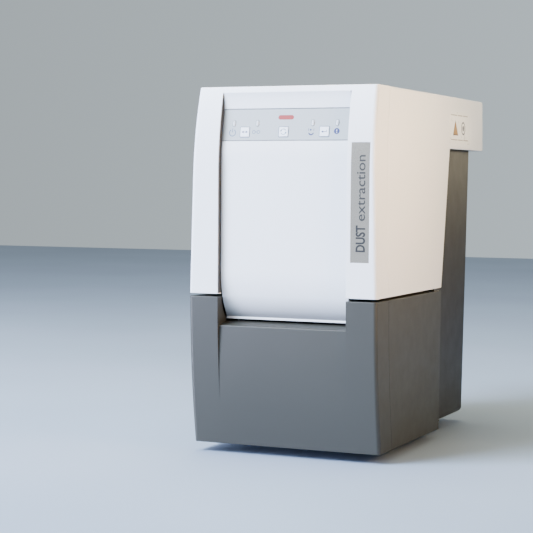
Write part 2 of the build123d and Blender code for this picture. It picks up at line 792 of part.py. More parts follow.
with BuildPart() as rear_housing:
    with BuildSketch(Plane.YZ):
        with BuildLine():
            Polyline(
                (depth(housing_front), housing_bottom),
                (depth(rear_face(housing_bottom)), housing_bottom),
                (depth(rear_face(housing_top)), housing_top),
                (depth(housing_front), housing_top),
                close=True,
            )
        make_face()
    extrude(amount=housing_half, both=True)
    fillet(
        rear_housing.edges().filter_by(
            lambda e: e.bounding_box().size.Z > overall_height / 2
            and e.center().Y > depth(overall_depth / 2)
        ),
        housing_corner,
    )
    fillet(
        rear_housing.edges().filter_by(
            lambda e: e.center().Z < housing_bottom + 1 and e.center().Y > depth(overall_depth * 0.9)
        ).filter_by(Axis.X),
        8,
    )
    add(housing_hollow.part, mode=Mode.SUBTRACT)
    with BuildSketch(rear_plane(pipe_side, pipe_height)):
        Circle(pipe_outer + seat_gap)
    extrude(amount=-2 * housing_wall, mode=Mode.SUBTRACT)
    with BuildSketch(rear_plane(*panel_centre)):
        RectangleRounded(*panel_cut, 4)
    extrude(amount=-2 * housing_wall, mode=Mode.SUBTRACT)
    with BuildSketch(rear_plane(*grille_centre)):
        RectangleRounded(*grille_size, 6)
    extrude(amount=-2 * housing_wall, mode=Mode.SUBTRACT)
    with BuildSketch(rear_plane(*panel_centre)):
        with GridLocations(panel_size[0] - 10, panel_size[1] - 10, 2, 2):
            Circle(case_screw_radius + 0.1)
    extrude(amount=-2 * housing_wall, mode=Mode.SUBTRACT)
    with BuildSketch(rear_plane(pipe_side, pipe_height)):
        with PolarLocations(29.5, 4, 45):
            Circle(case_screw_radius + 0.1)
    extrude(amount=-2 * housing_wall, mode=Mode.SUBTRACT)
save(rear_housing.part, "rear_housing")


def plate_outline(y_front, y_back, windows=()):
    """Adds a chassis plate's outline, with rectangular windows (depth, width, length)."""
    with Locations((0, depth((y_front + y_back) / 2))):
        Rectangle(2 * inner_half, y_back - y_front)
    for along, width, length in windows:
        with Locations((0, depth(along))):
            RectangleRounded(width, length, 6, mode=Mode.SUBTRACT)


def rear_corners(part):
    """The two upright edges of a plate that lie in the housing's rounded rear corners."""
    upright = part.edges().filter_by(Axis.Z)
    return upright.filter_by(lambda e: abs(e.center().X) > inner_half - 1).sort_by(Axis.Y)[-2:]


with BuildPart() as base_plate:
    with BuildSketch(Plane.XY.offset(housing_bottom)):
        plate_outline(housing_front, rear_face(housing_bottom) - 6)
        with Locations(*foot_places):
            Circle(stud_radius + 0.1, mode=Mode.SUBTRACT)
    extrude(amount=housing_wall)
    fillet(rear_corners(base_plate), hollow_radius + 2)
save(base_plate.part, "base_plate")
with BuildPart() as top_plate:
    with BuildSketch(Plane.XY.offset(housing_top - sheet)):
        plate_outline(housing_front, rear_face(housing_top) - 6)
    extrude(amount=sheet)
    fillet(rear_corners(top_plate), hollow_radius + 2)
save(top_plate.part, "top_plate")

chamber_middle = (housing_front + sheet + bulkhead_depth) / 2
tub_middle = (tub_front + tub_back) / 2
chute_size = (2 * tub_half, tub_back - tub_front)
chute_wall = 2.0
seal_height = 3.5
seal_low = tub_high + running_gap
with BuildPart() as filter_deck:
    with BuildSketch(Plane.XY.offset(deck_height)):
        plate_outline(
            housing_front + sheet,
            bulkhead_depth,
            [(tub_middle, chute_size[0] - 2 * chute_wall, chute_size[1] - 2 * chute_wall)],
        )
    extrude(amount=sheet)
    # chute down to the tub
    with BuildSketch(Plane.XY.offset(seal_low + seal_height)):
        with Locations((0, depth(tub_middle))):
            RectangleRounded(*chute_size, 8)
            RectangleRounded(
                chute_size[0] - 2 * chute_wall, chute_size[1] - 2 * chute_wall, 6, mode=Mode.SUBTRACT
            )
    extrude(amount=deck_height - seal_low - seal_height)
save(filter_deck.part, "filter_deck")

cartridge_size = (2 * (inner_half - 23), bulkhead_depth - housing_front - sheet - 40)
gasket_height = 2.0
frame_height = 12.0
frame_low = plenum_height - gasket_height - frame_height
latch_bracket_half = inner_half - 9
latch_pin_radius = 3.0
latch_length = latch_bracket_half - cartridge_size[0] / 2 + 6
latch_low = frame_low - 8.0
with BuildPart() as plenum_plate:
    with BuildSketch(Plane.XY.offset(plenum_height)):
        plate_outline(
            housing_front + sheet,
            bulkhead_depth,
            [(chamber_middle, cartridge_size[0] - 12, cartridge_size[1] - 12)],
        )
    extrude(amount=sheet)
    # brackets and pins for the two latches
    for side in (-1, 1):
        with BuildSketch(Plane.XZ.offset(-depth(chamber_middle - 12))):
            with Locations((side * (latch_bracket_half + inner_half - 6) / 2, frame_low + sheet / 2)):
                Rectangle(inner_half - latch_bracket_half + 6, sheet)
            with Locations((side * (inner_half - 1.5), (frame_low + plenum_height) / 2)):
                Rectangle(2, plenum_height - frame_low)
        extrude(amount=-24)
        with BuildSketch(Plane.XY.offset(latch_low - 3)):
            with Locations((side * latch_bracket_half, depth(chamber_middle))):
                Circle(latch_pin_radius)
        extrude(amount=frame_low - latch_low + 3)
save(plenum_plate.part, "plenum_plate")

eye_radius = 24.0
with BuildPart() as turbine_shelf:
    with BuildSketch(Plane.XY.offset(shelf_height)):
        with Locations((0, depth((bulkhead_depth + sheet + rear_face(shelf_height) - 5) / 2))):
            Rectangle(2 * inner_half, rear_face(shelf_height) - 5 - bulkhead_depth - sheet)
        with Locations((turbine_side, depth(turbine_depth))):
            Circle(eye_radius, mode=Mode.SUBTRACT)
    extrude(amount=sheet)
    fillet(rear_corners(turbine_shelf), hollow_radius + 2)
save(turbine_shelf.part, "turbine_shelf")

window_low = plenum_height + 15.0
window_high = window_low + 60.0
duct_half = 40.0
with BuildPart() as bulkhead:
    with BuildSketch(Plane.XZ.offset(-depth(bulkhead_depth))):
        with Locations((0, (housing_bottom + housing_wall + housing_top - sheet) / 2)):
            Rectangle(2 * inner_half, housing_top - sheet - housing_bottom - housing_wall)
        with Locations((turbine_side, (window_low + window_high) / 2)):
            RectangleRounded(2 * duct_half - 10, window_high - window_low, 5, mode=Mode.SUBTRACT)
    extrude(amount=-sheet)
    with BuildSketch(rear_plane(pipe_side, pipe_height)):
        Circle(pipe_outer + seat_gap)
    extrude(amount=-overall_depth / 2, mode=Mode.SUBTRACT)
save(bulkhead.part, "bulkhead")

with BuildPart() as chamber_front:
    with BuildSketch(Plane.XZ.offset(-depth(housing_front))):
        with Locations((0, (deck_height + housing_top - sheet) / 2)):
            Rectangle(2 * inner_half, housing_top - sheet - deck_height)
        for post_z in post_heights:
            with Locations((-post_half, post_z), (post_half, post_z)):
                Circle(case_screw_radius + 0.1, mode=Mode.SUBTRACT)
    extrude(amount=-sheet)
save(chamber_front.part, "chamber_front")

# ---------------------------------------------------------------- seal between chute and tub
with BuildPart() as drawer_seal:
    with BuildSketch(Plane.XY.offset(seal_low)):
        with Locations((0, depth(tub_middle))):
            RectangleRounded(*chute_size, 8)
            RectangleRounded(chute_size[0] - 16, chute_size[1] - 16, 4, mode=Mode.SUBTRACT)
    extrude(amount=seal_height)
save(drawer_seal.part, "drawer_seal")

# ---------------------------------------------------------------- filter cartridge
pleat_low = frame_low - 78.0
pleat_high = frame_low
pleat_count = 17
pleat_thick = 6.0
with BuildPart() as filter_gasket:
    with BuildSketch(Plane.XY.offset(plenum_height - gasket_height)):
        with Locations((0, depth(chamber_middle))):
            Rectangle(*cartridge_size)
            Rectangle(cartridge_size[0] - 16, cartridge_size[1] - 16, mode=Mode.SUBTRACT)
    extrude(amount=gasket_height)
save(filter_gasket.part, "filter_gasket")
with BuildPart() as filter_frame:
    with BuildSketch(Plane.XY.offset(frame_low)):
        with Locations((0, depth(chamber_middle))):
            Rectangle(*cartridge_size)
            Rectangle(cartridge_size[0] - 24, cartridge_size[1] - 24, mode=Mode.SUBTRACT)
            Rectangle(cartridge_size[0] - 20, 4)
            Rectangle(4, cartridge_size[1] - 20)
    extrude(amount=frame_height)
save(filter_frame.part, "filter_frame")
with BuildPart() as filter_pleats:
    with BuildSketch(Plane.XZ.offset(-depth(chamber_middle - cartridge_size[1] / 2 + 6))):
        pleat_pitch = (cartridge_size[0] - 16) / pleat_count
        start_x = -(cartridge_size[0] - 16) / 2
        upper = []
        for i in range(pleat_count):
            upper.append((start_x + i * pleat_pitch, pleat_high))
            upper.append((start_x + (i + 0.5) * pleat_pitch, pleat_low + pleat_thick))
        upper.append((start_x + pleat_count * pleat_pitch, pleat_high))
        lower = [(x, z - pleat_thick) for x, z in reversed(upper)]
        with BuildLine():
            Polyline(*upper, *lower, close=True)
        make_face()
    extrude(amount=-(cartridge_size[1] - 12))
save(filter_pleats.part, "filter_pleats")

# quarter-turn latches that hold the cartridge up from below
for name, side in (("left_filter_latch", -1), ("right_filter_latch", 1)):
    with BuildPart() as latch:
        with BuildSketch(Plane.XY.offset(latch_low)):
            with Locations((side * latch_bracket_half, depth(chamber_middle))):
                Circle(7)
            with Locations((side * (latch_bracket_half - latch_length / 2), depth(chamber_middle))):
                RectangleRounded(latch_length, 10, 3)
            with Locations((side * latch_bracket_half, depth(chamber_middle))):
                Circle(latch_pin_radius + 0.05, mode=Mode.SUBTRACT)
        extrude(amount=frame_low - latch_low - seat_gap)
    save(latch.part, name)

# ---------------------------------------------------------------- filter shaker
shaker_height = plenum_height + 42.0
shaker_depth = chamber_middle
shaker_pin = 3.0
bracket_length = bulkhead_depth - housing_front - sheet - 14.0
with BuildPart() as shaker_motor:
    with BuildSketch(Plane.YZ.offset(-40)):
        with Locations((depth(shaker_depth), shaker_height)):
            Circle(19)
    extrude(amount=58)
    with BuildSketch(Plane.YZ.offset(18)):
        with Locations((depth(shaker_depth), shaker_height)):
            Circle(8)
    extrude(amount=4)
    with BuildSketch(Plane.YZ.offset(18)):
        with Locations((depth(shaker_depth), shaker_height)):
            Circle(shaker_pin + 0.05)
    extrude(amount=4, mode=Mode.SUBTRACT)
save(shaker_motor.part, "shaker_motor")
with BuildPart() as shaker_bracket:
    with BuildSketch(Plane.XY.offset(plenum_height + sheet)):
        with Locations((-9, depth(shaker_depth))):
            Rectangle(64, bracket_length)
            with GridLocations(40, bracket_length - 14, 2, 2):
                Circle(2.2, mode=Mode.SUBTRACT)
    extrude(amount=2)
    for x in (-34.0, 8.0):
        with BuildSketch(Plane.YZ.offset(x)):
            with Locations((depth(shaker_depth), (plenum_height + sheet + shaker_height) / 2)):
                Rectangle(44, shaker_height - plenum_height - sheet)
            with Locations((depth(shaker_depth), shaker_height)):
                Circle(22)
                Circle(19, mode=Mode.SUBTRACT)
        extrude(amount=4)
save(shaker_bracket.part, "shaker_bracket")
with BuildPart() as shaker_weight:
    with BuildSketch(Plane.YZ.offset(24)):
        with Locations((depth(shaker_depth), shaker_height)):
            Circle(7)
            with Locations((0, -9)):
                Rectangle(34, 18, mode=Mode.ADD)
    extrude(amount=12)
    with BuildSketch(Plane.YZ.offset(18.2)):
        with Locations((depth(shaker_depth), shaker_height)):
            Circle(shaker_pin)
    extrude(amount=6)
    fillet(shaker_weight.edges().filter_by(Axis.X).group_by(Axis.Z)[0], 8)
save(shaker_weight.part, "shaker_weight")

# ---------------------------------------------------------------- intake pipe
with BuildPart() as intake_pipe:
    with BuildSketch(rear_plane(pipe_side, pipe_height).offset(pipe_length_out)):
        Circle(pipe_outer)
        Circle(pipe_bore, mode=Mode.SUBTRACT)
    extrude(amount=-(pipe_length_out + rear_face(pipe_height) - bulkhead_depth + 4))
    with BuildSketch(rear_plane(pipe_side, pipe_height)):
        Circle(34)
        Circle(pipe_outer - 1, mode=Mode.SUBTRACT)
        with PolarLocations(29.5, 4, 45):
            Circle(1.7, mode=Mode.SUBTRACT)
    extrude(amount=3)
save(intake_pipe.part, "intake_pipe")

# ---------------------------------------------------------------- clean-air duct to the turbine
duct_back = turbine_depth + 28.0
duct_wall = 2.0
with BuildPart() as clean_air_duct:
    with BuildSketch(Plane.XY.offset(shelf_height + sheet)):
        with Locations((turbine_side, depth((bulkhead_depth + sheet + duct_back) / 2))):
            Rectangle(2 * duct_half, duct_back - bulkhead_depth - sheet)
    extrude(amount=window_high + 8 - shelf_height - sheet)
    with BuildSketch(Plane.XY.offset(shelf_height + sheet)):
        with Locations((turbine_side, depth((bulkhead_depth + sheet + duct_back) / 2))):
            Rectangle(2 * (duct_half - duct_wall), duct_back - bulkhead_depth - sheet - 2 * duct_wall)
    extrude(amount=window_high + 8 - shelf_height - sheet - duct_wall, mode=Mode.SUBTRACT)
    with BuildSketch(Plane.XZ.offset(-depth(bulkhead_depth + sheet))):
        with Locations((turbine_side, (window_low + window_high) / 2)):
            RectangleRounded(2 * duct_half - 10, window_high - window_low, 5)
    extrude(amount=-2 * duct_wall, mode=Mode.SUBTRACT)
save(clean_air_duct.part, "clean_air_duct")

# ---------------------------------------------------------------- turbine, upright, hung under its shelf
can_radius = 62.0
can_high = shelf_height
can_low = can_high - 58.0
motor_low = can_low - 90.0
axis_point = (turbine_side, depth(turbine_depth))


def ring(z_low, z_high, outer, inner=0.0):
    """Adds a ring or disc on the turbine's axis."""
    with BuildSketch(Plane.XY.offset(z_low)) as section:
        with Locations(axis_point):
            Circle(outer)
            if inner:
                Circle(inner, mode=Mode.SUBTRACT)
    extrude(section.sketch, amount=z_high - z_low)


with BuildPart() as fan_can:
    ring(can_low, can_high, can_radius, can_radius - 1.6)
    ring(can_high - 1.6, can_high, can_radius, eye_radius)
save(fan_can.part, "fan_can")

motor_radius = 46.0
motor_bore = 43.0
bearing_radius = 11.0
boss_radius = 14.0
with BuildPart() as motor_frame:
    ring(can_low - 3, can_low, can_radius, 12)
    with BuildSketch(Plane.XY.offset(can_low - 3)):
        with Locations(axis_point):
            with PolarLocations(53, 12):
                Circle(5)
    extrude(amount=3, mode=Mode.SUBTRACT)
    ring(motor_low + 24, can_low - 3, motor_radius, motor_bore)
    ring(can_low - 15, can_low - 3, boss_radius, bearing_radius)
    with BuildSketch(Plane.XY.offset(can_low - 15)):
        with Locations(axis_point):
            Rectangle(2 * motor_radius - 2, 12)
            Circle(boss_radius - 2, mode=Mode.SUBTRACT)
    extrude(amount=4)
    # lower bearing bridge on two legs
    with BuildSketch(Plane.XY.offset(motor_low)):
        with Locations(axis_point):
            Rectangle(2 * motor_radius, 18)
            Circle(bearing_radius, mode=Mode.SUBTRACT)
    extrude(amount=4)
    for side in (-1, 1):
        with BuildSketch(Plane.XY.offset(motor_low)):
            with Locations((turbine_side + side * (motor_radius - 1.5), depth(turbine_depth))):
                Rectangle(3, 18)
        extrude(amount=26)
    ring(motor_low, motor_low + 9, boss_radius, bearing_radius)
save(motor_frame.part, "motor_frame")

with BuildPart() as bearings:
    ring(can_low - 13, can_low - 5, bearing_radius, shaft_radius + 0.02)
    ring(motor_low + 1, motor_low + 8, bearing_radius, shaft_radius + 0.02)
save(bearings.part, "bearings")

core_low = motor_low + 28
core_high = core_low + 38
rotor_radius = 22.5
with BuildPart() as stator:
    ring(core_low, core_high, motor_bore, rotor_radius + 1)
    for z in (core_low - 6, core_high):
        ring(z, z + 6, motor_bore - 5, rotor_radius + 4.5)
save(stator.part, "stator")

with BuildPart() as motor_shaft:
    ring(motor_low - 12, can_low + 42, shaft_radius)
save(motor_shaft.part, "motor_shaft")

commutator_radius = 13.0
with BuildPart() as armature:
    ring(core_low, core_high, rotor_radius, shaft_radius)
    with BuildSketch(Plane.XY.offset(core_low)):
        with Locations(axis_point):
            with PolarLocations(rotor_radius - 1, 12):
                Rectangle(6, 2)
    extrude(amount=core_high - core_low, mode=Mode.SUBTRACT)
    ring(core_low - 16, core_low - 6, commutator_radius, shaft_radius)
    ring(core_low - 6, core_low, 9, shaft_radius)
save(armature.part, "armature")

with BuildPart() as carbon_brushes:
    for side in (-1, 1):
        inner_end = commutator_radius + running_gap / 2
        with BuildSketch(Plane.YZ.offset(turbine_side + side * inner_end)):
            with Locations((depth(turbine_depth), core_low - 11)):
                Rectangle(7, 7)
        extrude(amount=side * (motor_bore - 0.1 - inner_end))
save(carbon_brushes.part, "carbon_brushes")

blade_count = 8
impeller_low = can_low + 10
with BuildPart() as impeller:
    ring(impeller_low, impeller_low + 2, can_radius - 7, shaft_radius)
    ring(impeller_low + 28, impeller_low + 30, can_radius - 7, eye_radius + 2)
    ring(impeller_low + 2, impeller_low + 26, 10, shaft_radius)
    with BuildSketch(Plane.XY.offset(impeller_low + 2)):
        for i in range(blade_count):
            turn = 2 * pi * i / blade_count
            reaches = ((eye_radius + 1, 0.0), (can_radius - 21, 0.22), (can_radius - 8, 0.7))
            stations = [
                (axis_point[0] + r * cos(turn - swept), axis_point[1] + r * sin(turn - swept))
                for r, swept in reaches
            ]
            with BuildLine():
                ThreePointArc(*stations)
            trace(line_width=1.4)
    extrude(amount=26)
save(impeller.part, "impeller")

with BuildPart() as cooling_fan:
    ring(motor_low - 11, motor_low - 2, 9, shaft_radius)
    with BuildSketch(Plane.XY.offset(motor_low - 11)):
        with Locations(axis_point):
            with PolarLocations(21, 7):
                Rectangle(26, 2.2)
    extrude(amount=9)
save(cooling_fan.part, "cooling_fan")

# ---------------------------------------------------------------- sound foam and exhaust
foam = 14.0
with BuildPart() as acoustic_foam:
    foam_low = housing_bottom + housing_wall
    foam_back = rear_face(foam_low) - housing_corner
    with BuildSketch(Plane.XY.offset(foam_low)):
        for side in (-1, 1):
            across = side * (inner_half - foam / 2)
            with Locations((across, depth((bulkhead_depth + sheet + foam_back) / 2))):
                Rectangle(foam, foam_back - bulkhead_depth - sheet)
    extrude(amount=shelf_height - foam_low)
    with BuildSketch(Plane.XY.offset(foam_low)):
        with Locations((0, depth(bulkhead_depth + sheet + foam / 2 - 2))):
            Rectangle(2 * (inner_half - foam), foam - 4)
    extrude(amount=shelf_height - foam_low)
save(acoustic_foam.part, "acoustic_foam")

louvre_count = 9
with BuildPart() as exhaust_grille:
    with BuildSketch(rear_plane(*grille_centre)):
        RectangleRounded(grille_size[0] + 14, grille_size[1] + 14, 8)
        RectangleRounded(grille_size[0] - 8, grille_size[1] - 8, 4, mode=Mode.SUBTRACT)
    extrude(amount=2.5)
    with BuildSketch(rear_plane(*grille_centre)):
        RectangleRounded(grille_size[0] - 1, grille_size[1] - 1, 5)
        RectangleRounded(grille_size[0] - 8, grille_size[1] - 8, 4, mode=Mode.SUBTRACT)
    extrude(amount=-6)
    with BuildSketch(rear_plane(*grille_centre).offset(-5)):
        with GridLocations(0, (grille_size[1] - 8) / louvre_count, 1, louvre_count):
            Rectangle(grille_size[0] - 6, 4.2)
        for x in (-36, 36):
            with Locations((x, 0)):
                Rectangle(3, grille_size[1] - 6)
    extrude(amount=6)
save(exhaust_grille.part, "exhaust_grille")

# ---------------------------------------------------------------- connector panel
inlet_place = (-60.0, 0.0)
switch_place = (-19.0, 0.0)
breaker_place = (16.0, 0.0)
signal_place = (52.0, 0.0)
inlet_cut = (28.0, 20.4)
switch_cut = (22.0, 30.0)
breaker_radius = 7.0
signal_cut = (16.0, 14.0)
panel_plane = rear_plane(*panel_centre)
panel_thick = 2.5
with BuildPart() as connector_panel:
    with BuildSketch(panel_plane):
        RectangleRounded(*panel_size, 5)
        with Locations(inlet_place):
            Rectangle(*inlet_cut, mode=Mode.SUBTRACT)
        with Locations(switch_place):
            Rectangle(*switch_cut, mode=Mode.SUBTRACT)
        with Locations(breaker_place):
            Circle(breaker_radius + 0.3, mode=Mode.SUBTRACT)
        with Locations(signal_place):
            Rectangle(*signal_cut, mode=Mode.SUBTRACT)
        with GridLocations(panel_size[0] - 10, panel_size[1] - 10, 2, 2):
            Circle(1.7, mode=Mode.SUBTRACT)
    extrude(amount=panel_thick)
save(connector_panel.part, "connector_panel")

socket_depth = 17.0
with BuildPart() as mains_inlet:
    with BuildSketch(panel_plane.offset(panel_thick)):
        with Locations(inlet_place):
            RectangleRounded(34, 27, 3)
    extrude(amount=2)
    with BuildSketch(panel_plane.offset(panel_thick)):
        with Locations(inlet_place):
            Rectangle(inlet_cut[0] - 0.4, inlet_cut[1] - 0.4)
    extrude(amount=-22)
    with BuildSketch(panel_plane.offset(panel_thick + 2)):
        with Locations(inlet_place):
            Rectangle(24, 16)
    extrude(amount=-socket_depth, mode=Mode.SUBTRACT)
save(mains_inlet.part, "mains_inlet")
with BuildPart() as inlet_pins:
    with BuildSketch(panel_plane.offset(panel_thick + 2 - socket_depth)):
        for dx, dy in ((-7, -1), (0, 3), (7, -1)):
            with Locations((inlet_place[0] + dx, inlet_place[1] + dy)):
                Rectangle(2, 4)
    extrude(amount=11.5)
save(inlet_pins.part, "inlet_pins")

rocker_half = 9.2
rocker_long = 12.6
rocker_angle = radians(10)
rocker_pin = 1.2
rocker_axis = panel_plane.from_local_coords((switch_place[0], switch_place[1], panel_thick - 3))
with BuildPart() as switch_frame:
    with BuildSketch(panel_plane.offset(panel_thick)):
        with Locations(switch_place):
            RectangleRounded(26, 34, 2)
            Rectangle(2 * rocker_half + 0.8, 2 * rocker_long + 0.8, mode=Mode.SUBTRACT)
    extrude(amount=2)
    with BuildSketch(panel_plane.offset(panel_thick)):
        with Locations(switch_place):
            Rectangle(switch_cut[0] - 0.4, switch_cut[1] - 0.4)
            Rectangle(2 * rocker_half + 0.8, 2 * rocker_long + 0.8, mode=Mode.SUBTRACT)
    extrude(amount=-18)
    with BuildSketch(panel_plane.offset(panel_thick - 18)):
        with Locations(switch_place):
            Rectangle(switch_cut[0] - 0.4, switch_cut[1] - 0.4)
    extrude(amount=4)
    with BuildSketch(Plane(origin=rocker_axis, z_dir=(1, 0, 0))):
        Circle(rocker_pin + 0.08)
    extrude(amount=switch_cut[0], both=True, mode=Mode.SUBTRACT)
save(switch_frame.part, "switch_frame")

# It rests with its upper half standing out and turns about X by twice rocker_angle.
rocker_out = panel_plane.y_dir * cos(rocker_angle) + panel_plane.z_dir * sin(rocker_angle)
with BuildPart() as rocker:
    with BuildSketch(Plane(origin=rocker_axis, x_dir=rocker_out, z_dir=(-1, 0, 0))):
        with BuildLine():
            Polyline(
                (-rocker_long + 1.2, -1.5),
                (rocker_long - 1.2, -1.5),
                (rocker_long - 0.6, 3.4),
                (0, 1.6),
                (-rocker_long + 0.6, 3.4),
                close=True,
            )
        make_face()
    extrude(amount=rocker_half, both=True)
    with BuildSketch(Plane(origin=rocker_axis, z_dir=(1, 0, 0))):
        Circle(rocker_pin)
    extrude(amount=rocker_half + 1.2, both=True)
save(rocker.part, "rocker")

with BuildPart() as breaker_body:
    with BuildSketch(panel_plane.offset(-20)):
        with Locations(breaker_place):
            Circle(breaker_radius + 5)
            Circle(5.3, mode=Mode.SUBTRACT)
    extrude(amount=20)
    with BuildSketch(panel_plane.offset(-20)):
        with Locations(breaker_place):
            Circle(breaker_radius)
            Circle(5.3, mode=Mode.SUBTRACT)
    extrude(amount=20 + panel_thick + 3)
    with BuildSketch(panel_plane.offset(panel_thick)):
        with Locations(breaker_place):
            RegularPolygon(11, 6)
            Circle(breaker_radius, mode=Mode.SUBTRACT)
    extrude(amount=2)
    with BuildSketch(panel_plane.offset(-20)):
        with Locations(breaker_place):
            Circle(6)
    extrude(amount=4)
save(breaker_body.part, "breaker_body")
button_travel = 3.0
with BuildPart() as breaker_button:
    with BuildSketch(panel_plane.offset(-16 + button_travel + 0.5)):
        with Locations(breaker_place):
            Circle(5.0)
    extrude(amount=16 - button_travel - 0.5 + panel_thick + 3 + 5)
    fillet(breaker_button.edges().filter_by(GeomType.CIRCLE), 0.8)
save(breaker_button.part, "breaker_button")

signal_depth = 13.0
with BuildPart() as signal_port:
    with BuildSketch(panel_plane.offset(-14)):
        with Locations(signal_place):
            Rectangle(signal_cut[0] - 0.4, signal_cut[1] - 0.4)
    extrude(amount=14 + panel_thick + 1)
    with BuildSketch(panel_plane.offset(panel_thick + 1)):
        with Locations(signal_place):
            Rectangle(11.8, 8.4)
    extrude(amount=-signal_depth, mode=Mode.SUBTRACT)
save(signal_port.part, "signal_port")

# ---------------------------------------------------------------- power electronics on the bulkhead
power_size = (92.0, 104.0)
power_place = (-(inner_half - power_size[0] / 2 - 7), panel_centre[1] - 4)
standoff = 8.0
power_face = depth(bulkhead_depth + sheet)
with BuildPart() as power_board:
    with BuildSketch(Plane.XZ.offset(-(power_face + standoff))):
        with Locations(power_place):
            Rectangle(*power_size)
    extrude(amount=-board_thick)
save(power_board.part, "power_board")
with BuildPart() as board_standoffs:
    with BuildSketch(Plane.XZ.offset(-power_face)):
        with Locations(power_place):
            with GridLocations(power_size[0] - 10, power_size[1] - 10, 2, 2):
                Circle(3)
    extrude(amount=-standoff)
    with BuildSketch(keypad_plane.offset(-(wall + board_gap))):
        with GridLocations(board_size[0] - 10, board_size[1] - 10, 2, 2):
            Circle(3)
    extrude(amount=board_gap)
save(board_standoffs.part, "board_standoffs")
component_face = power_face + standoff + board_thick
with BuildPart() as board_parts:
    with BuildSketch(Plane.XZ.offset(-component_face)):
        with Locations((power_place[0] - 24, power_place[1] + 26)):
            RectangleRounded(36, 32, 2)
    extrude(amount=-28)
    with BuildSketch(Plane.XZ.offset(-component_face)):
        for across in (16, 36):
            with Locations((power_place[0] + across, power_place[1] + 30)):
                Circle(8.5)
    extrude(amount=-26)
    with BuildSketch(Plane.XZ.offset(-component_face)):
        with Locations((power_place[0] - 20, power_place[1] - 26)):
            Rectangle(40, 30)
    extrude(amount=-4)
    for i in range(6):
        with BuildSketch(Plane.XZ.offset(-(component_face + 4))):
            with Locations((power_place[0] - 38 + i * 7.2, power_place[1] - 26)):
                Rectangle(1.8, 30)
        extrude(amount=-18)
    with BuildSketch(Plane.XZ.offset(-component_face)):
        with Locations((power_place[0] + 26, power_place[1] - 22)):
            Rectangle(22, 16)
    extrude(amount=-16)
save(board_parts.part, "board_parts")

# ---------------------------------------------------------------- feet and fasteners
with BuildPart() as feet:
    with BuildSketch(Plane.XY):
        with Locations(*foot_places):
            Circle(foot_radius)
    extrude(amount=housing_bottom)
    fillet(feet.edges().group_by(Axis.Z)[0], 1.2)
    with BuildSketch(Plane.XY.offset(housing_bottom)):
        with Locations(*foot_places):
            Circle(stud_radius)
    extrude(amount=housing_wall + 4)
save(feet.part, "feet")

pipe_plane = rear_plane(pipe_side, pipe_height)
with BuildPart() as case_screws:
    for x in (-1, 1):
        for y in (-1, 1):
            corner = (x * (panel_size[0] - 10) / 2, y * (panel_size[1] - 10) / 2, panel_thick)
            spot = Plane(
                origin=panel_plane.from_local_coords(corner),
                x_dir=panel_plane.x_dir,
                z_dir=panel_plane.z_dir,
            )
            screw(spot, 3.0, 1.8, case_screw_radius, panel_thick + 3)
    for i in range(4):
        turn = radians(45 + 90 * i)
        hole = (29.5 * cos(turn), 29.5 * sin(turn), 3)
        spot = Plane(
            origin=pipe_plane.from_local_coords(hole), x_dir=pipe_plane.x_dir, z_dir=pipe_plane.z_dir
        )
        screw(spot, 3.0, 1.8, case_screw_radius, 6)
    for x in (-post_half, post_half):
        for z in post_heights:
            spot = Plane(origin=(x, depth(housing_front + sheet), z), x_dir=(1, 0, 0), z_dir=(0, 1, 0))
            screw(spot, 3.0, 1.8, case_screw_radius, sheet + 8)
save(case_screws.part, "case_screws")
with BuildPart() as tub_screws:
    for x in (-tub_screw_half, tub_screw_half):
        for z in tub_screw_heights:
            spot = Plane(origin=(x, depth(tub_front + tub_wall), z), x_dir=(1, 0, 0), z_dir=(0, 1, 0))
            screw(spot, 4.0, 2.0, tub_screw_radius, tub_wall + 8)
save(tub_screws.part, "tub_screws")
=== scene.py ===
"""Looks of the bench-top dust extraction unit: finishes, printed graphics, light, floor and camera.

Everything is in metres in the model's own frame: +Z up, the front faces -Y, +X on the right of
someone who stands in front, and the origin on the floor under the middle of the unit.
"""

from math import atan2, cos, pi, radians, sin

import bpy
import numpy as np
from mathutils import Matrix, Vector


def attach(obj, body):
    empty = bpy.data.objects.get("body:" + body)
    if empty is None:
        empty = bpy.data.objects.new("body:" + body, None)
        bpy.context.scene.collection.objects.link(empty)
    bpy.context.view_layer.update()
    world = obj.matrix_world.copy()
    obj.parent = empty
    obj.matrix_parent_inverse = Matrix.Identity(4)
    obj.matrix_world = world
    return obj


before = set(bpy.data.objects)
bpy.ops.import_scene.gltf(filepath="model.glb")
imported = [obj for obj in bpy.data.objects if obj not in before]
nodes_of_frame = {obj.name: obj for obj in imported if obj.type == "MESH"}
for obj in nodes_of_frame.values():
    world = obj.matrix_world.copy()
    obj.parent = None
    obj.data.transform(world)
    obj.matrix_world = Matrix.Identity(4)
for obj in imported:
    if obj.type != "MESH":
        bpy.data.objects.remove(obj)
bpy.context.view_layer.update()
MM = 0.001

# ---------------------------------------------------------------- places, as the model has them
HALF_DEPTH = 266.0 * MM
KEYPAD_LOW, KEYPAD_HIGH = 452.0 * MM, 498.5 * MM
KEYPAD_LOW_DEPTH, KEYPAD_HIGH_DEPTH = 10.5 * MM, 17.8 * MM
KEYPAD_POCKET = 1.5 * MM
FOIL_THICK = 1.0 * MM
FOIL_WIDTH = 193.6 * MM
KEY_PROUD = 0.9 * MM
KEY_PLACES = {"select_key": -62.5 * MM, "start_key": -2.5 * MM, "enter_key": 59.5 * MM}
KEY_ROW = -10.5 * MM
LED_PLACES = (-80.0 * MM, -43.5 * MM, 41.5 * MM, 78.5 * MM)
LED_ROW = 2.0 * MM
PRINT_LIFT = 0.06 * MM  # printed graphics stand this far off the surface they are printed on
CROWN_START, CROWN_RADIUS = 402.0 * MM, 450.0 * MM  # above this height the front leans back on an arc
SEAM_HEIGHT, COVER_TOP = 233.0 * MM, 530.0 * MM
CURL_START, CURL_END = 265.0 * MM, 199.0 * MM
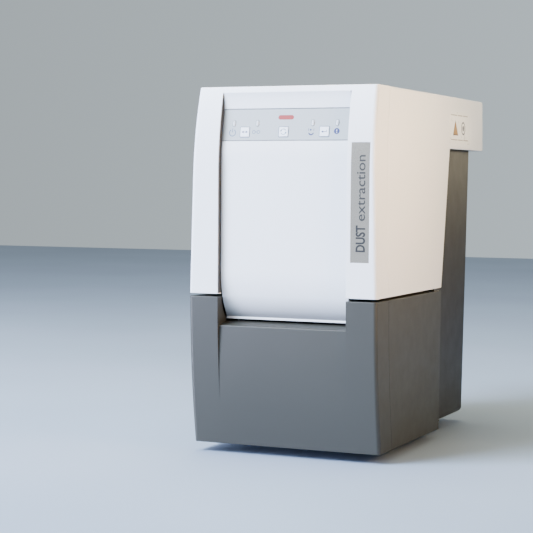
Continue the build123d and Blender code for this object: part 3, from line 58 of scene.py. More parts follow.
RECESS_HALF, RECESS_DEPTH, RECESS_TOP = 98.5 * MM, 8.5 * MM, 521.5 * MM
BEND_START, GROOVE_DEPTH = 430.0 * MM, 1.8 * MM  # the sunk panel turns towards the keypad above BEND_START
PLATE_BASELINE = 125.6 * MM  # the feet of the label plate's letters stand on this upright line
CAPITAL_SHARE = 0.73  # height of a capital in the built-in lettering of size 1
CAPITAL_HEIGHT = 13.6 * MM
HALF_WIDTH_LOW, HALF_WIDTH_TOP = 144.0 * MM, 137.0 * MM

keypad_lean = atan2(KEYPAD_HIGH_DEPTH - KEYPAD_LOW_DEPTH, KEYPAD_HIGH - KEYPAD_LOW)
keypad_out = Vector((0, -cos(keypad_lean), sin(keypad_lean)))
keypad_up = Vector((0, sin(keypad_lean), cos(keypad_lean)))
keypad_depth = (KEYPAD_HIGH_DEPTH + KEYPAD_LOW_DEPTH) / 2 + KEYPAD_POCKET
keypad_centre = Vector((0, keypad_depth - HALF_DEPTH, (KEYPAD_HIGH + KEYPAD_LOW) / 2))
RIGHT, BACKWARD = Vector((1, 0, 0)), Vector((0, 1, 0))


def front_setback(z):
    """How far the front lies behind its foremost plane: an arc above CROWN_START."""
    above_start = np.maximum(z - CROWN_START, 0)
    return CROWN_RADIUS - np.sqrt(CROWN_RADIUS**2 - above_start**2)


# ---------------------------------------------------------------- meshes from grids
def mesh_piece(name, vertices, faces, material, body):
    """An object from arrays of points and faces, riding on a body of the model."""
    mesh = bpy.data.meshes.new(name)
    mesh.from_pydata(vertices.tolist(), [], list(map(list, faces)))
    mesh.update()
    piece = bpy.data.objects.new(name, mesh)
    bpy.context.scene.collection.objects.link(piece)
    mesh.materials.append(material)
    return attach(piece, body)


def grid_faces(rows, columns, wrap=False):
    """Quads of a grid of points, counted row by row; wrap joins the last row to the first."""
    r = np.arange(rows if wrap else rows - 1)[:, None]
    c = np.arange(columns - 1)[None, :]
    a = r * columns + c
    b = ((r + 1) % rows) * columns + c
    return np.stack([a, b, b + 1, a + 1], -1).reshape(-1, 4)


def band(inner, outer, wrap=True):
    """Points and quads of the flat band between two outlines with equal numbers of points."""
    points = np.stack([inner, outer], 1).reshape(-1, 2)
    return points, grid_faces(len(inner), 2, wrap)


def rounded_outline(width, height, radius, per_corner=8):
    """Outline of a rounded rectangle: four quarter circles of the radius about the inset corners."""
    turn = np.linspace(0, pi / 2, per_corner)
    centres = [(1, 1), (-1, 1), (-1, -1), (1, -1)]
    parts = [
        np.stack(
            [
                sx * (width / 2 - radius) + radius * np.cos(turn + k * pi / 2),
                sy * (height / 2 - radius) + radius * np.sin(turn + k * pi / 2),
            ],
            -1,
        )
        for k, (sx, sy) in enumerate(centres)
    ]
    return np.concatenate(parts)


def frame_shape(width, height, radius, line):
    """A rounded rectangle's outline drawn with a line of constant width, inside the outer size."""
    inner_radius = max(radius - line, radius * 0.3)
    return band(
        rounded_outline(width - 2 * line, height - 2 * line, inner_radius),
        rounded_outline(width, height, radius),
    )


def arc_shape(radius, line, start, end, steps=40):
    """A stroke of constant width along a circle from one angle to another, in degrees."""
    turn = np.radians(np.linspace(start, end, steps))
    ray = np.stack([np.cos(turn), np.sin(turn)], -1)
    return band(ray * (radius - line / 2), ray * (radius + line / 2), wrap=False)


def disc_shape(radius, start=0.0, end=360.0, steps=40):
    """A filled circle, or the part of it between two angles.

    It is a band from the outline almost to the outline's middle, where a tiny hole is left.
    """
    hole = 0.02
    turn = np.radians(np.linspace(start, end, steps))
    ring = np.stack([np.cos(turn), np.sin(turn)], -1) * radius
    middle = np.broadcast_to(ring.mean(0), ring.shape)
    return band(middle + (ring - middle) * hole, ring, wrap=False)


def bar_shape(width, height):
    """A filled rectangle about the middle."""
    corner = np.array([[-1, -1], [1, -1], [1, 1], [-1, 1]]) * (width / 2, height / 2)
    return corner, np.array([[0, 1, 2, 3]])


def filled(outline):
    """A flat face inside an outline."""
    return outline, [list(range(len(outline)))]


def triangle_shape(width, height):
    """A filled triangle that points up, with its middle at half height."""
    return np.array([[-width / 2, -height / 2], [width / 2, -height / 2], [0, height / 2]]), [[0, 1, 2]]


def arrow_shape(length, height, turn=0.0):
    """A filled arrow head that points along +X, turned by an angle in degrees."""
    tip = np.array([[-length / 2, -height / 2], [length / 2, 0], [-length / 2, height / 2]])
    c, s = cos(radians(turn)), sin(radians(turn))
    return tip @ np.array([[c, s], [-s, c]]), [[0, 1, 2]]


def joined(*shapes):
    """Several flat shapes, each with its offsets in x and y, as one list of points and faces."""
    points, faces, count = [], [], 0
    for shape_points, shape_faces, dx, dy in shapes:
        points.append(np.asarray(shape_points, float) + (dx, dy))
        faces += [[int(i) + count for i in face] for face in shape_faces]
        count += len(shape_points)
    return np.concatenate(points), faces


def upward(points, faces):
    """The same faces, each with its corners in anticlockwise order, so that it faces the viewer."""
    turned = []
    for face in faces:
        corner = points[face]
        following = np.roll(corner, -1, 0)
        area = (corner[:, 0] * following[:, 1] - following[:, 0] * corner[:, 1]).sum()
        turned.append(face if area > 0 else face[::-1])
    return turned


def print_on(name, shapes, origin, right, up, out, lift, material, body):
    """Printed graphics: flat shapes laid on a plane of the model, lifted a hair off its surface."""
    points, faces = joined(*shapes)
    faces = upward(points, faces)
    place = (
        np.array(origin)
        + points[:, :1] * np.array(right)
        + points[:, 1:] * np.array(up)
        + np.array(out) * lift
    )
    return mesh_piece(name, place, faces, material, body)


# ---------------------------------------------------------------- finishes
def finish(name):
    """An empty procedural material: its nodes, its links, its shader and its Object coordinates."""
    material = bpy.data.materials.new(name)
    material.use_nodes = True
    tree = material.node_tree
    shader = tree.nodes["Principled BSDF"]
    coordinates = tree.nodes.new("ShaderNodeTexCoord").outputs["Object"]
    return material, tree.nodes, tree.links, shader, coordinates


def noise(nodes, links, coordinates, scale, detail=4.0, rough=0.5, stretch=None):
    """A noise pattern on the given coordinates; stretch scales each axis by itself first."""
    if stretch:
        mapping = nodes.new("ShaderNodeMapping")
        mapping.inputs["Scale"].default_value = stretch
        links.new(coordinates, mapping.inputs["Vector"])
        coordinates = mapping.outputs["Vector"]
    texture = nodes.new("ShaderNodeTexNoise")
    texture.inputs["Scale"].default_value = scale
    texture.inputs["Detail"].default_value = detail
    texture.inputs["Roughness"].default_value = rough
    links.new(coordinates, texture.inputs["Vector"])
    return texture.outputs["Fac"]


def ramp(nodes, links, value, low, high, start=0.3, end=0.7):
    """Turns a pattern's 0 to 1 into a colour between low and high."""
    colour = nodes.new("ShaderNodeValToRGB")
    colour.color_ramp.elements[0].position = start
    colour.color_ramp.elements[1].position = end
    colour.color_ramp.elements[0].color = (*low, 1)
    colour.color_ramp.elements[1].color = (*high, 1)
    links.new(value, colour.inputs["Fac"])
    return colour.outputs["Color"]


def span(nodes, links, value, low, high):
    """Turns a pattern's 0.3 to 0.7 into a number between low and high."""
    mapped = nodes.new("ShaderNodeMapRange")
    mapped.inputs["From Min"].default_value = 0.3
    mapped.inputs["From Max"].default_value = 0.7
    mapped.inputs["To Min"].default_value = low
    mapped.inputs["To Max"].default_value = high
    links.new(value, mapped.inputs["Value"])
    return mapped.outputs["Result"]


def bumped(nodes, links, shader, height, strength, distance, edge=0.0):
    """Tilts the normals by a pattern; distance is its depth and edge a rounding, in metres."""
    bump = nodes.new("ShaderNodeBump")
    if edge:
        rounding = nodes.new("ShaderNodeBevel")
        rounding.samples = 4
        rounding.inputs["Radius"].default_value = edge
        links.new(rounding.outputs["Normal"], bump.inputs["Normal"])
    bump.inputs["Strength"].default_value = strength
    bump.inputs["Distance"].default_value = distance
    links.new(height, bump.inputs["Height"])
    links.new(bump.outputs["Normal"], shader.inputs["Normal"])


def scaled(colour, factor):
    """A colour made lighter or darker, kept inside 0 to 1."""
    return tuple(min(1.0, channel * factor) for channel in colour)


def moulded(
    name,
    colour,
    roughness=0.42,
    grain=1100.0,
    depth=0.00003,
    spread=0.025,
    coat=0.0,
    edge=0.0,
    shine=0.5,
):
    """Injection-moulded plastic: a fine spark-eroded grain, a slow change of tone and of gloss."""
    material, nodes, links, shader, coordinates = finish(name)
    slow = noise(nodes, links, coordinates, 5.0, 3.0)
    fine = noise(nodes, links, coordinates, grain, 3.0, 0.6)
    tone = ramp(nodes, links, slow, scaled(colour, 1 - spread), scaled(colour, 1 + spread))
    links.new(tone, shader.inputs["Base Color"])
    gloss = noise(nodes, links, coordinates, 38.0, 5.0, 0.6)
    matt = span(nodes, links, gloss, roughness - 0.035, roughness + 0.035)
    links.new(matt, shader.inputs["Roughness"])
    bumped(nodes, links, shader, fine, 0.35, depth, edge)
    shader.inputs["Specular IOR Level"].default_value = shine
    shader.inputs["Coat Weight"].default_value = coat
    return material


def sheet_metal(name, colour, roughness=0.34, stretch=(1.0, 1.0, 60.0), scale=30.0):
    """Rolled sheet: fine lines along the rolling direction, with a faint cloud of zinc flowers."""
    material, nodes, links, shader, coordinates = finish(name)
    lines = noise(nodes, links, coordinates, scale, 6.0, 0.7, stretch)
    flowers = nodes.new("ShaderNodeTexVoronoi")
    flowers.inputs["Scale"].default_value = 90.0
    links.new(coordinates, flowers.inputs["Vector"])
    petals = flowers.outputs["Distance"]
    tone = ramp(nodes, links, petals, scaled(colour, 0.88), scaled(colour, 1.05), 0.1, 0.8)
    links.new(tone, shader.inputs["Base Color"])
    brushed = span(nodes, links, lines, roughness - 0.1, roughness + 0.12)
    links.new(brushed, shader.inputs["Roughness"])
    bumped(nodes, links, shader, lines, 0.15, 0.00002)
    shader.inputs["Metallic"].default_value = 1.0
    return material


def rubber(name, colour, pores=700.0):
    """Matt rubber: a low pebble and a powdery change of tone."""
    material, nodes, links, shader, coordinates = finish(name)
    bloom = noise(nodes, links, coordinates, 60.0, 6.0, 0.65)
    tone = ramp(nodes, links, bloom, scaled(colour, 0.8), scaled(colour, 1.4))
    links.new(tone, shader.inputs["Base Color"])
    shader.inputs["Roughness"].default_value = 0.75
    bumped(nodes, links, shader, noise(nodes, links, coordinates, pores, 2.0), 0.4, 0.00008)
    return material


def ink(name, colour, roughness=0.5):
    """Screen print: a nearly even colour with the faint mottle of the screen."""
    material, nodes, links, shader, coordinates = finish(name)
    mottle = noise(nodes, links, coordinates, 1500.0, 2.0)
    tone = ramp(nodes, links, mottle, scaled(colour, 0.93), scaled(colour, 1.07))
    links.new(tone, shader.inputs["Base Color"])
    shader.inputs["Roughness"].default_value = roughness
    return material


def film(name, colour, speckle=0.05, roughness=0.38, grain=2200.0):
    """Printed polyester film: a metallic-looking speckle under a satin surface."""
    material, nodes, links, shader, coordinates = finish(name)
    flecks = noise(nodes, links, coordinates, grain, 2.0, 0.7)
    dark, light = scaled(colour, 1 - speckle), scaled(colour, 1 + speckle)
    links.new(ramp(nodes, links, flecks, dark, light, 0.35, 0.65), shader.inputs["Base Color"])
    gloss = noise(nodes, links, coordinates, 90.0)
    matt = span(nodes, links, gloss, roughness - 0.04, roughness + 0.04)
    links.new(matt, shader.inputs["Roughness"])
    bumped(nodes, links, shader, flecks, 0.2, 0.00002)
    return material


def fleece(name, colour):
    """Pleated filter fleece: tangled fibres, with dust caught in a broad cloud."""
    material, nodes, links, shader, coordinates = finish(name)
    fibres = noise(nodes, links, coordinates, 500.0, 8.0, 0.75, (1.0, 0.25, 1.0))
    cloud = noise(nodes, links, coordinates, 14.0, 4.0)
    links.new(ramp(nodes, links, cloud, scaled(colour, 0.82), colour), shader.inputs["Base Color"])
    shader.inputs["Roughness"].default_value = 0.95
    shader.inputs["Sheen Weight"].default_value = 0.3
    bumped(nodes, links, shader, fibres, 0.6, 0.0003)
    return material


def open_foam(name, colour):
    """Open-cell foam: round cells cut through at the surface, their hollows darkened as painted shade."""
    material, nodes, links, shader, coordinates = finish(name)
    cells = nodes.new("ShaderNodeTexVoronoi")
    cells.inputs["Scale"].default_value = 420.0
    links.new(coordinates, cells.inputs["Vector"])
    hollows = cells.outputs["Distance"]
    tone = ramp(nodes, links, hollows, scaled(colour, 0.35), scaled(colour, 1.3), 0.1, 0.7)
    links.new(tone, shader.inputs["Base Color"])
    shader.inputs["Roughness"].default_value = 0.95
    bumped(nodes, links, shader, hollows, 0.9, 0.001)
    return material


def circuit_board(name, colour):
    """Solder mask over copper: darker ground with lighter tracks in two directions."""
    material, nodes, links, shader, coordinates = finish(name)
    tracks = nodes.new("ShaderNodeTexBrick")
    tracks.inputs["Color1"].default_value = (*scaled(colour, 0.8), 1)
    tracks.inputs["Color2"].default_value = (*colour, 1)
    tracks.inputs["Mortar"].default_value = (*scaled(colour, 1.9), 1)
    tracks.inputs["Scale"].default_value = 160.0
    tracks.inputs["Mortar Size"].default_value = 0.045
    tracks.inputs["Row Height"].default_value = 0.4
    turned = nodes.new("ShaderNodeMapping")
    turned.inputs["Rotation"].default_value = (radians(90), 0, 0)
    links.new(coordinates, turned.inputs["Vector"])
    links.new(turned.outputs["Vector"], tracks.inputs["Vector"])
    links.new(tracks.outputs["Color"], shader.inputs["Base Color"])
    shader.inputs["Roughness"].default_value = 0.32
    bumped(nodes, links, shader, tracks.outputs["Fac"], 0.2, 0.00004)
    return material


def winding(name, colour):
    """Varnished copper wire: close turns around the upright axis of the motor, darkened in the grooves
    between turns as painted shade.
    """
    material, nodes, links, shader, coordinates = finish(name)
    turns = nodes.new("ShaderNodeTexWave")
    turns.bands_direction = "Z"
    turns.inputs["Scale"].default_value = 320.0
    turns.inputs["Distortion"].default_value = 1.2
    links.new(coordinates, turns.inputs["Vector"])
    tone = ramp(nodes, links, turns.outputs["Fac"], scaled(colour, 0.5), scaled(colour, 1.2))
    links.new(tone, shader.inputs["Base Color"])
    shader.inputs["Metallic"].default_value = 0.8
    shader.inputs["Roughness"].default_value = 0.32
    bumped(nodes, links, shader, turns.outputs["Fac"], 0.6, 0.0002)
    return material


def frosted(name, colour):
    """Frosted clear plastic of the light pipes: milky, with a little light let through."""
    material, nodes, links, shader, coordinates = finish(name)
    haze = noise(nodes, links, coordinates, 900.0, 3.0)
    links.new(ramp(nodes, links, haze, scaled(colour, 0.9), colour), shader.inputs["Base Color"])
    shader.inputs["Roughness"].default_value = 0.3
    shader.inputs["Subsurface Weight"].default_value = 0.3
    shader.inputs["Subsurface Radius"].default_value = (0.002, 0.002, 0.002)
    bumped(nodes, links, shader, haze, 0.2, 0.00003)
    return material


def painted_curl_shade(material):
    """Paints shade on the cover's curl, darker by height as it turns under into the grip recess; its bead
    stays light.
    """
    nodes, links = material.node_tree.nodes, material.node_tree.links
    shader = nodes["Principled BSDF"]
    heights = nodes.new("ShaderNodeSeparateXYZ")
    links.new(nodes.new("ShaderNodeTexCoord").outputs["Object"], heights.inputs["Vector"])
    place = nodes.new("ShaderNodeMapRange")
    place.inputs["From Min"].default_value = CURL_END
    place.inputs["From Max"].default_value = SEAM_HEIGHT
    links.new(heights.outputs["Z"], place.inputs["Value"])
    tone = nodes.new("ShaderNodeValToRGB")
    marks = tone.color_ramp.elements
    marks.new(0.5)
    shades = ((0.02, 0.30), (0.35, 0.62), (0.95, 1.0))  # from bead to seam: place, share of white
    for mark, (position, grey) in zip(marks, shades):
        mark.position = position
        mark.color = (grey, grey, grey, 1)
    bead = marks.new(0.0)
    bead.color = (1.0, 1.0, 1.0, 1)
    links.new(place.outputs["Result"], tone.inputs["Fac"])
    mixed = nodes.new("ShaderNodeMix")
    mixed.data_type = "RGBA"
    mixed.blend_type = "MULTIPLY"
    mixed.inputs["Factor"].default_value = 1.0
    base = shader.inputs["Base Color"].links[0].from_socket
    links.new(base, mixed.inputs["A"])
    links.new(tone.outputs["Color"], mixed.inputs["B"])
    links.new(mixed.outputs["Result"], shader.inputs["Base Color"])


cover_white = moulded(
    "cover_white", (0.84, 0.85, 0.87), roughness=0.38, spread=0.012, edge=1.2 * MM
)
# painted shade on the front cover's curl, where it turns under into the grip recess
painted_curl_shade(cover_white)
# dark grey of the painted shade strips on the walls beside the sunk centre panel
painted_gap_shade_grey = moulded("painted_gap_shade_grey", (0.045, 0.045, 0.047), roughness=0.6)
base_grey = moulded(
    "base_grey", (0.0335, 0.0328, 0.0268), roughness=0.46, spread=0.03, edge=0.8 * MM, shine=0.43
)
# the housing's grey, darkened and warmed below base_grey as painted shade, since the rear housing sits in
# shadow behind the hood and side panels
housing_grey_and_shade = moulded(
    "housing_grey_and_shade", (0.0227, 0.0190, 0.0145), roughness=0.44, spread=0.04, shine=0.26
)
tub_grey = moulded("tub_grey", (0.07, 0.075, 0.08), roughness=0.45, spread=0.05)
black_moulding = moulded("black_moulding", (0.012, 0.012, 0.013), roughness=0.45, spread=0.15)
key_white = moulded("key_white", (0.86, 0.88, 0.92), roughness=0.3, grain=2600.0, depth=0.00001)
button_white = moulded("button_white", (0.75, 0.75, 0.74), roughness=0.3)
rocker_red = moulded("rocker_red", (0.35, 0.012, 0.012), roughness=0.25, coat=0.3)
keypad_film = film("keypad_film", (0.40, 0.425, 0.43), speckle=0.03)
label_film = film("label_film", (0.185, 0.172, 0.140), speckle=0.22, grain=1000.0)
zinc_sheet = sheet_metal("zinc_sheet", (0.60, 0.61, 0.62))
bright_steel = sheet_metal("bright_steel", (0.72, 0.72, 0.73), roughness=0.24, stretch=(40.0, 40.0, 1.0))
aluminium = sheet_metal("aluminium", (0.78, 0.79, 0.80), roughness=0.30, stretch=(1.0, 1.0, 30.0))
core_steel = sheet_metal(
    "core_steel", (0.20, 0.20, 0.21), roughness=0.45, stretch=(1.0, 1.0, 90.0), scale=60.0
)
brass = sheet_metal("brass", (0.75, 0.56, 0.25), roughness=0.28)
copper_wire = winding("copper_wire", (0.70, 0.32, 0.14))
carbon_block = rubber("carbon_block", (0.03, 0.03, 0.03), pores=1200.0)
black_rubber = rubber("black_rubber", (0.018, 0.018, 0.02))
grey_rubber = rubber("grey_rubber", (0.055, 0.05, 0.045))
filter_fleece = fleece("filter_fleece", (0.80, 0.78, 0.70))
damping_foam = open_foam("damping_foam", (0.06, 0.06, 0.065))
board_green = circuit_board("board_green", (0.02, 0.12, 0.05))
component_black = moulded("component_black", (0.02, 0.02, 0.022), roughness=0.5)
light_pipe = frosted("light_pipe", (0.62, 0.64, 0.65))
ink_blue = ink("ink_blue", (0.008, 0.018, 0.12))
ink_pale_blue = ink("ink_pale_blue", (0.055, 0.10, 0.19))
ink_red = ink("ink_red", (0.30, 0.02, 0.018))
ink_dark = ink("ink_dark", (0.006, 0.006, 0.005))
ink_soft = ink("ink_soft", (0.012, 0.012, 0.011))
# dark grey for painted shadow: the rims of the light windows and the lines along the foil's edges
painted_edge_shadow = ink("painted_edge_shadow", (0.10, 0.105, 0.11))
ink_amber = ink("ink_amber", (0.33, 0.16, 0.008))
ink_brown = ink("ink_brown", (0.05, 0.012, 0.008))
ink_slate = ink("ink_slate", (0.03, 0.042, 0.09))
ink_faint = ink("ink_faint", (0.30, 0.275, 0.25))
sticker_film = film("sticker_film", (0.80, 0.80, 0.80), speckle=0.015, roughness=0.3)

finishes = {
    cover_white: ("front_cover", "hood"),
    base_grey: ("drawer_front", "left_side_panel", "right_side_panel"),
    housing_grey_and_shade: ("rear_housing",),
    tub_grey: ("dust_tub",),
    black_moulding: (
        "clean_air_duct",
        "intake_pipe",
        "filter_frame",
        "cooling_fan",
        "exhaust_grille",
        "mains_inlet",
        "switch_frame",
        "breaker_body",
        "signal_port",
    ),
    key_white: ("key_select", "key_start", "key_enter"),
    button_white: ("breaker_button",),
    rocker_red: ("rocker",),
    keypad_film: ("keypad_foil",),
    label_film: ("front_label",),
    zinc_sheet: (
        "base_plate",
        "top_plate",
        "filter_deck",
        "plenum_plate",
        "turbine_shelf",
        "bulkhead",
        "chamber_front",
        "shaker_bracket",
        "runner_outer",
        "runner_middle",
        "runner_inner",
    ),
    bright_steel: (
        "left_filter_latch",
        "right_filter_latch",
        "shaker_motor",
        "shaker_weight",
        "motor_shaft",
        "bearings",
        "tub_screws",
        "case_screws",
    ),
    aluminium: ("fan_can", "motor_frame", "impeller", "connector_panel"),
    core_steel: ("stator",),
    copper_wire: ("armature",),
    brass: ("inlet_pins", "board_standoffs"),
    carbon_block: ("carbon_brushes",),
    black_rubber: ("drawer_seal", "filter_gasket"),
    grey_rubber: ("feet",),
    filter_fleece: ("filter_pleats",),
    damping_foam: ("acoustic_foam",),
    board_green: ("control_board", "power_board"),
    component_black: ("board_parts",),
    light_pipe: ("light_pipes",),
}
for material, names in finishes.items():
    for node_name in names:
        slots = nodes_of_frame[node_name].data.materials
        slots.clear()
        slots.append(material)

# ---------------------------------------------------------------- printed graphics of the keypad
foil_lift = FOIL_THICK + PRINT_LIFT
key_lift = FOIL_THICK + KEY_PROUD + PRINT_LIFT
line = 0.55 * MM


def keypad_print(name, shapes, lift, material, body="casing"):
    """Graphics on the keypad's slope, or on a key's top when body is that key."""
    return print_on(name, shapes, keypad_centre, RIGHT, keypad_up, keypad_out, lift, material, body)


def at(shape, x, y):
    """A shape at a place on the keypad."""
    return (*shape, x, y)


# borders round the three keys, and the symbols beside them
keypad_print(
    "key_borders",
    [at(frame_shape(15.8 * MM, 15.8 * MM, 1.8 * MM, line), x, KEY_ROW) for x in KEY_PLACES.values()],
    foil_lift,
    ink_pale_blue,
)
power_x, link_x, bowl_x, alert_x = -82.0 * MM, -45.0 * MM, 39.5 * MM, 78.0 * MM
keypad_print(
    "power_symbol",
    [
        at(arc_shape(4.8 * MM, 1.1 * MM, 120, 420), power_x, KEY_ROW - 0.8 * MM),
        at(bar_shape(1.0 * MM, 5.6 * MM), power_x, KEY_ROW + 2.6 * MM),
    ],
    foil_lift,
    ink_pale_blue,
)
keypad_print(
    "link_symbol",
    [
        at(arc_shape(2.2 * MM, 0.7 * MM, 0, 360), link_x - 3.6 * MM, KEY_ROW),
        at(arc_shape(2.2 * MM, 0.7 * MM, 0, 360), link_x + 3.6 * MM, KEY_ROW),
        at(bar_shape(2.6 * MM, 0.7 * MM), link_x, KEY_ROW),
    ],
    foil_lift,
    ink_pale_blue,
)
keypad_print(
    "drawer_symbol",
    [
        at(disc_shape(4.2 * MM, 180, 360), bowl_x, KEY_ROW - 1.2 * MM),
        at(bar_shape(0.7 * MM, 3.2 * MM), bowl_x - 4.0 * MM, KEY_ROW + 2.8 * MM),
        at(bar_shape(0.7 * MM, 3.2 * MM), bowl_x + 4.0 * MM, KEY_ROW + 2.8 * MM),
        at(disc_shape(1.3 * MM), bowl_x - 0.8 * MM, KEY_ROW + 2.6 * MM),
    ],
    foil_lift,
    ink_blue,
)
keypad_print("alert_symbol", [at(disc_shape(4.3 * MM), alert_x, KEY_ROW + 0.4 * MM)], foil_lift, ink_blue)
keypad_print(
    "alert_mark",
    [
        at(bar_shape(0.9 * MM, 2.8 * MM), alert_x, KEY_ROW + 1.4 * MM),
        at(disc_shape(0.6 * MM), alert_x, KEY_ROW - 1.6 * MM),
    ],
    foil_lift + PRINT_LIFT,
    key_white,
)
# painted shadow rims of the light windows: wider on their right-hand and lower sides, the shaded side of
# the domed lenses
rim_inner = rounded_outline(4.2 * MM, 8.2 * MM, 2.1 * MM) + (-0.25 * MM, 0.35 * MM)
rim_outer = rounded_outline(5.6 * MM, 9.8 * MM, 2.8 * MM)
window_shadow_rim = band(rim_inner, rim_outer)
keypad_print("window_shadow_rims", [at(window_shadow_rim, x, LED_ROW) for x in LED_PLACES], foil_lift, painted_edge_shadow)
# painted shadow lines along the foil's upper and lower edges, where it sits in its pocket
foil_half = (KEYPAD_HIGH - KEYPAD_LOW) / cos(keypad_lean) / 2 - 0.5 * MM
edge_line = 0.9 * MM
keypad_print(
    "foil_edge_shadows",
    [at(bar_shape(FOIL_WIDTH, edge_line), 0, side * (foil_half - edge_line / 2)) for side in (-1, 1)],
    foil_lift,
    painted_edge_shadow,
)


def lens_domes(name, width, height, rise, base, rings=7):
    """Domed lenses over the light windows.

    Each has rings of a slot's outline, which shrink towards its spine as a quarter ellipse rises,
    and a small flat face on top.
    """
    outline = rounded_outline(width, height, width / 2)
    turn = np.linspace(0, pi / 2 * 0.97, rings)
    half_spine = (height - width) / 2
    spine = np.stack([np.zeros(len(outline)), np.clip(outline[:, 1], -half_spine, half_spine)], -1)
    rounds = spine + (outline - spine) * np.cos(turn)[:, None, None]
    lift = np.broadcast_to((base + rise * np.sin(turn))[:, None], rounds.shape[:2])
    count = len(outline)
    loop = np.arange(count)
    ring = np.arange(rings - 1)[:, None] * count
    lower, following = ring + loop, ring + (loop + 1) % count
    quads = np.stack([lower, following, following + count, lower + count], -1).reshape(-1, 4)
    one_lens = quads.tolist() + [((rings - 1) * count + loop).tolist()]
    faces = [
        [corner + k * rings * count for corner in face]
        for k in range(len(LED_PLACES))
        for face in one_lens
    ]
    flat = np.concatenate([rounds.reshape(-1, 2) + (x, LED_ROW) for x in LED_PLACES])
    high = np.tile(lift.reshape(-1), len(LED_PLACES))[:, None]
    across, up = flat[:, :1] * np.array(RIGHT), flat[:, 1:] * np.array(keypad_up)
    place = np.array(keypad_centre) + across + up
    piece = mesh_piece(name, place + high * np.array(keypad_out), faces, light_pipe, "casing")
    piece.data.shade_smooth()


lens_domes("window_lenses", 4.3 * MM, 8.3 * MM, 0.8 * MM, FOIL_THICK + 0.15 * MM)
# plain badge: one solid bar with round ends, with no lettering
badge = filled(rounded_outline(24.0 * MM, 6.4 * MM, 3.2 * MM))
keypad_print("plain_badge", [at(badge, 0, 10.2 * MM)], foil_lift, ink_red)
# symbols on the keys
select_x, start_x, enter_x = (KEY_PLACES[key] for key in ("select_key", "start_key", "enter_key"))
keypad_print(
    "select_arrows",
    [
        at(arrow_shape(3.4 * MM, 3.4 * MM, 180), select_x - 3.4 * MM, KEY_ROW),
        at(arrow_shape(3.4 * MM, 3.4 * MM, 0), select_x + 3.4 * MM, KEY_ROW),
        at(bar_shape(5.0 * MM, 0.7 * MM), select_x, KEY_ROW),
    ],
    key_lift,
    ink_blue,
    "select_key",
)
keypad_print(
    "start_arrows",
    [
        at(arc_shape(3.9 * MM, 0.8 * MM, 25, 155), start_x, KEY_ROW),
        at(arc_shape(3.9 * MM, 0.8 * MM, 205, 335), start_x, KEY_ROW),
        at(arrow_shape(2.4 * MM, 2.8 * MM, 250), start_x - 3.9 * MM, KEY_ROW + 0.9 * MM),
        at(arrow_shape(2.4 * MM, 2.8 * MM, 70), start_x + 3.9 * MM, KEY_ROW - 0.9 * MM),
    ],
    key_lift,
    ink_pale_blue,
    "start_key",
)
keypad_print(
    "enter_arrow",
    [
        at(arrow_shape(3.0 * MM, 3.2 * MM, 180), enter_x - 3.0 * MM, KEY_ROW - 0.4 * MM),
        at(bar_shape(5.4 * MM, 0.8 * MM), enter_x + 0.9 * MM, KEY_ROW - 0.4 * MM),
        at(bar_shape(0.8 * MM, 2.6 * MM), enter_x + 3.4 * MM, KEY_ROW + 0.8 * MM),
    ],
    key_lift,
    ink_blue,
    "enter_key",
)

# ---------------------------------------------------------------- painted shade: dark strips on the walls of the sunk panel's side gaps
strip_end_gap = 1.0 * MM
strip_setback = 0.9 * MM  # from the front's own surface back to the shade strip
least_strip = 0.5 * MM
curl_depth_at_seam = 17.0 * MM
panel_heights = (SEAM_HEIGHT, CURL_START, BEND_START, KEYPAD_LOW, KEYPAD_HIGH, RECESS_TOP)
panel_depths = (
    curl_depth_at_seam,
    RECESS_DEPTH,
    RECESS_DEPTH,
    KEYPAD_LOW_DEPTH,
    KEYPAD_HIGH_DEPTH,
    front_setback(RECESS_TOP),
)


def gap_shade_strip(name, side):
    """A strip of painted shade on the wall beside the sunk centre panel: height along it, depth across it.

    Its front edge follows the front's curve, and its rear edge the panel's, down in the groove.
    """
    heights = np.linspace(SEAM_HEIGHT + strip_end_gap, RECESS_TOP - strip_end_gap, 60)
    front = front_setback(heights) + strip_setback
    panel = np.interp(heights, panel_heights, panel_depths)
    rear = np.maximum(panel + GROOVE_DEPTH, front + least_strip)
    share = np.linspace(0, 1, 4)[None, :]
    depth = front[:, None] + (rear - front)[:, None] * share
    x = np.full(depth.shape, side * (RECESS_HALF - PRINT_LIFT))
    z = np.broadcast_to(heights[:, None], depth.shape)
    points = np.stack([x, depth - HALF_DEPTH, z], -1).reshape(-1, 3)
    quads = grid_faces(len(heights), 4)
    mesh_piece(name, points, quads[:, ::-1] if side < 0 else quads, painted_gap_shade_grey, "casing")


gap_shade_strip("left_gap_shade_strip", -1)
gap_shade_strip("right_gap_shade_strip", 1)


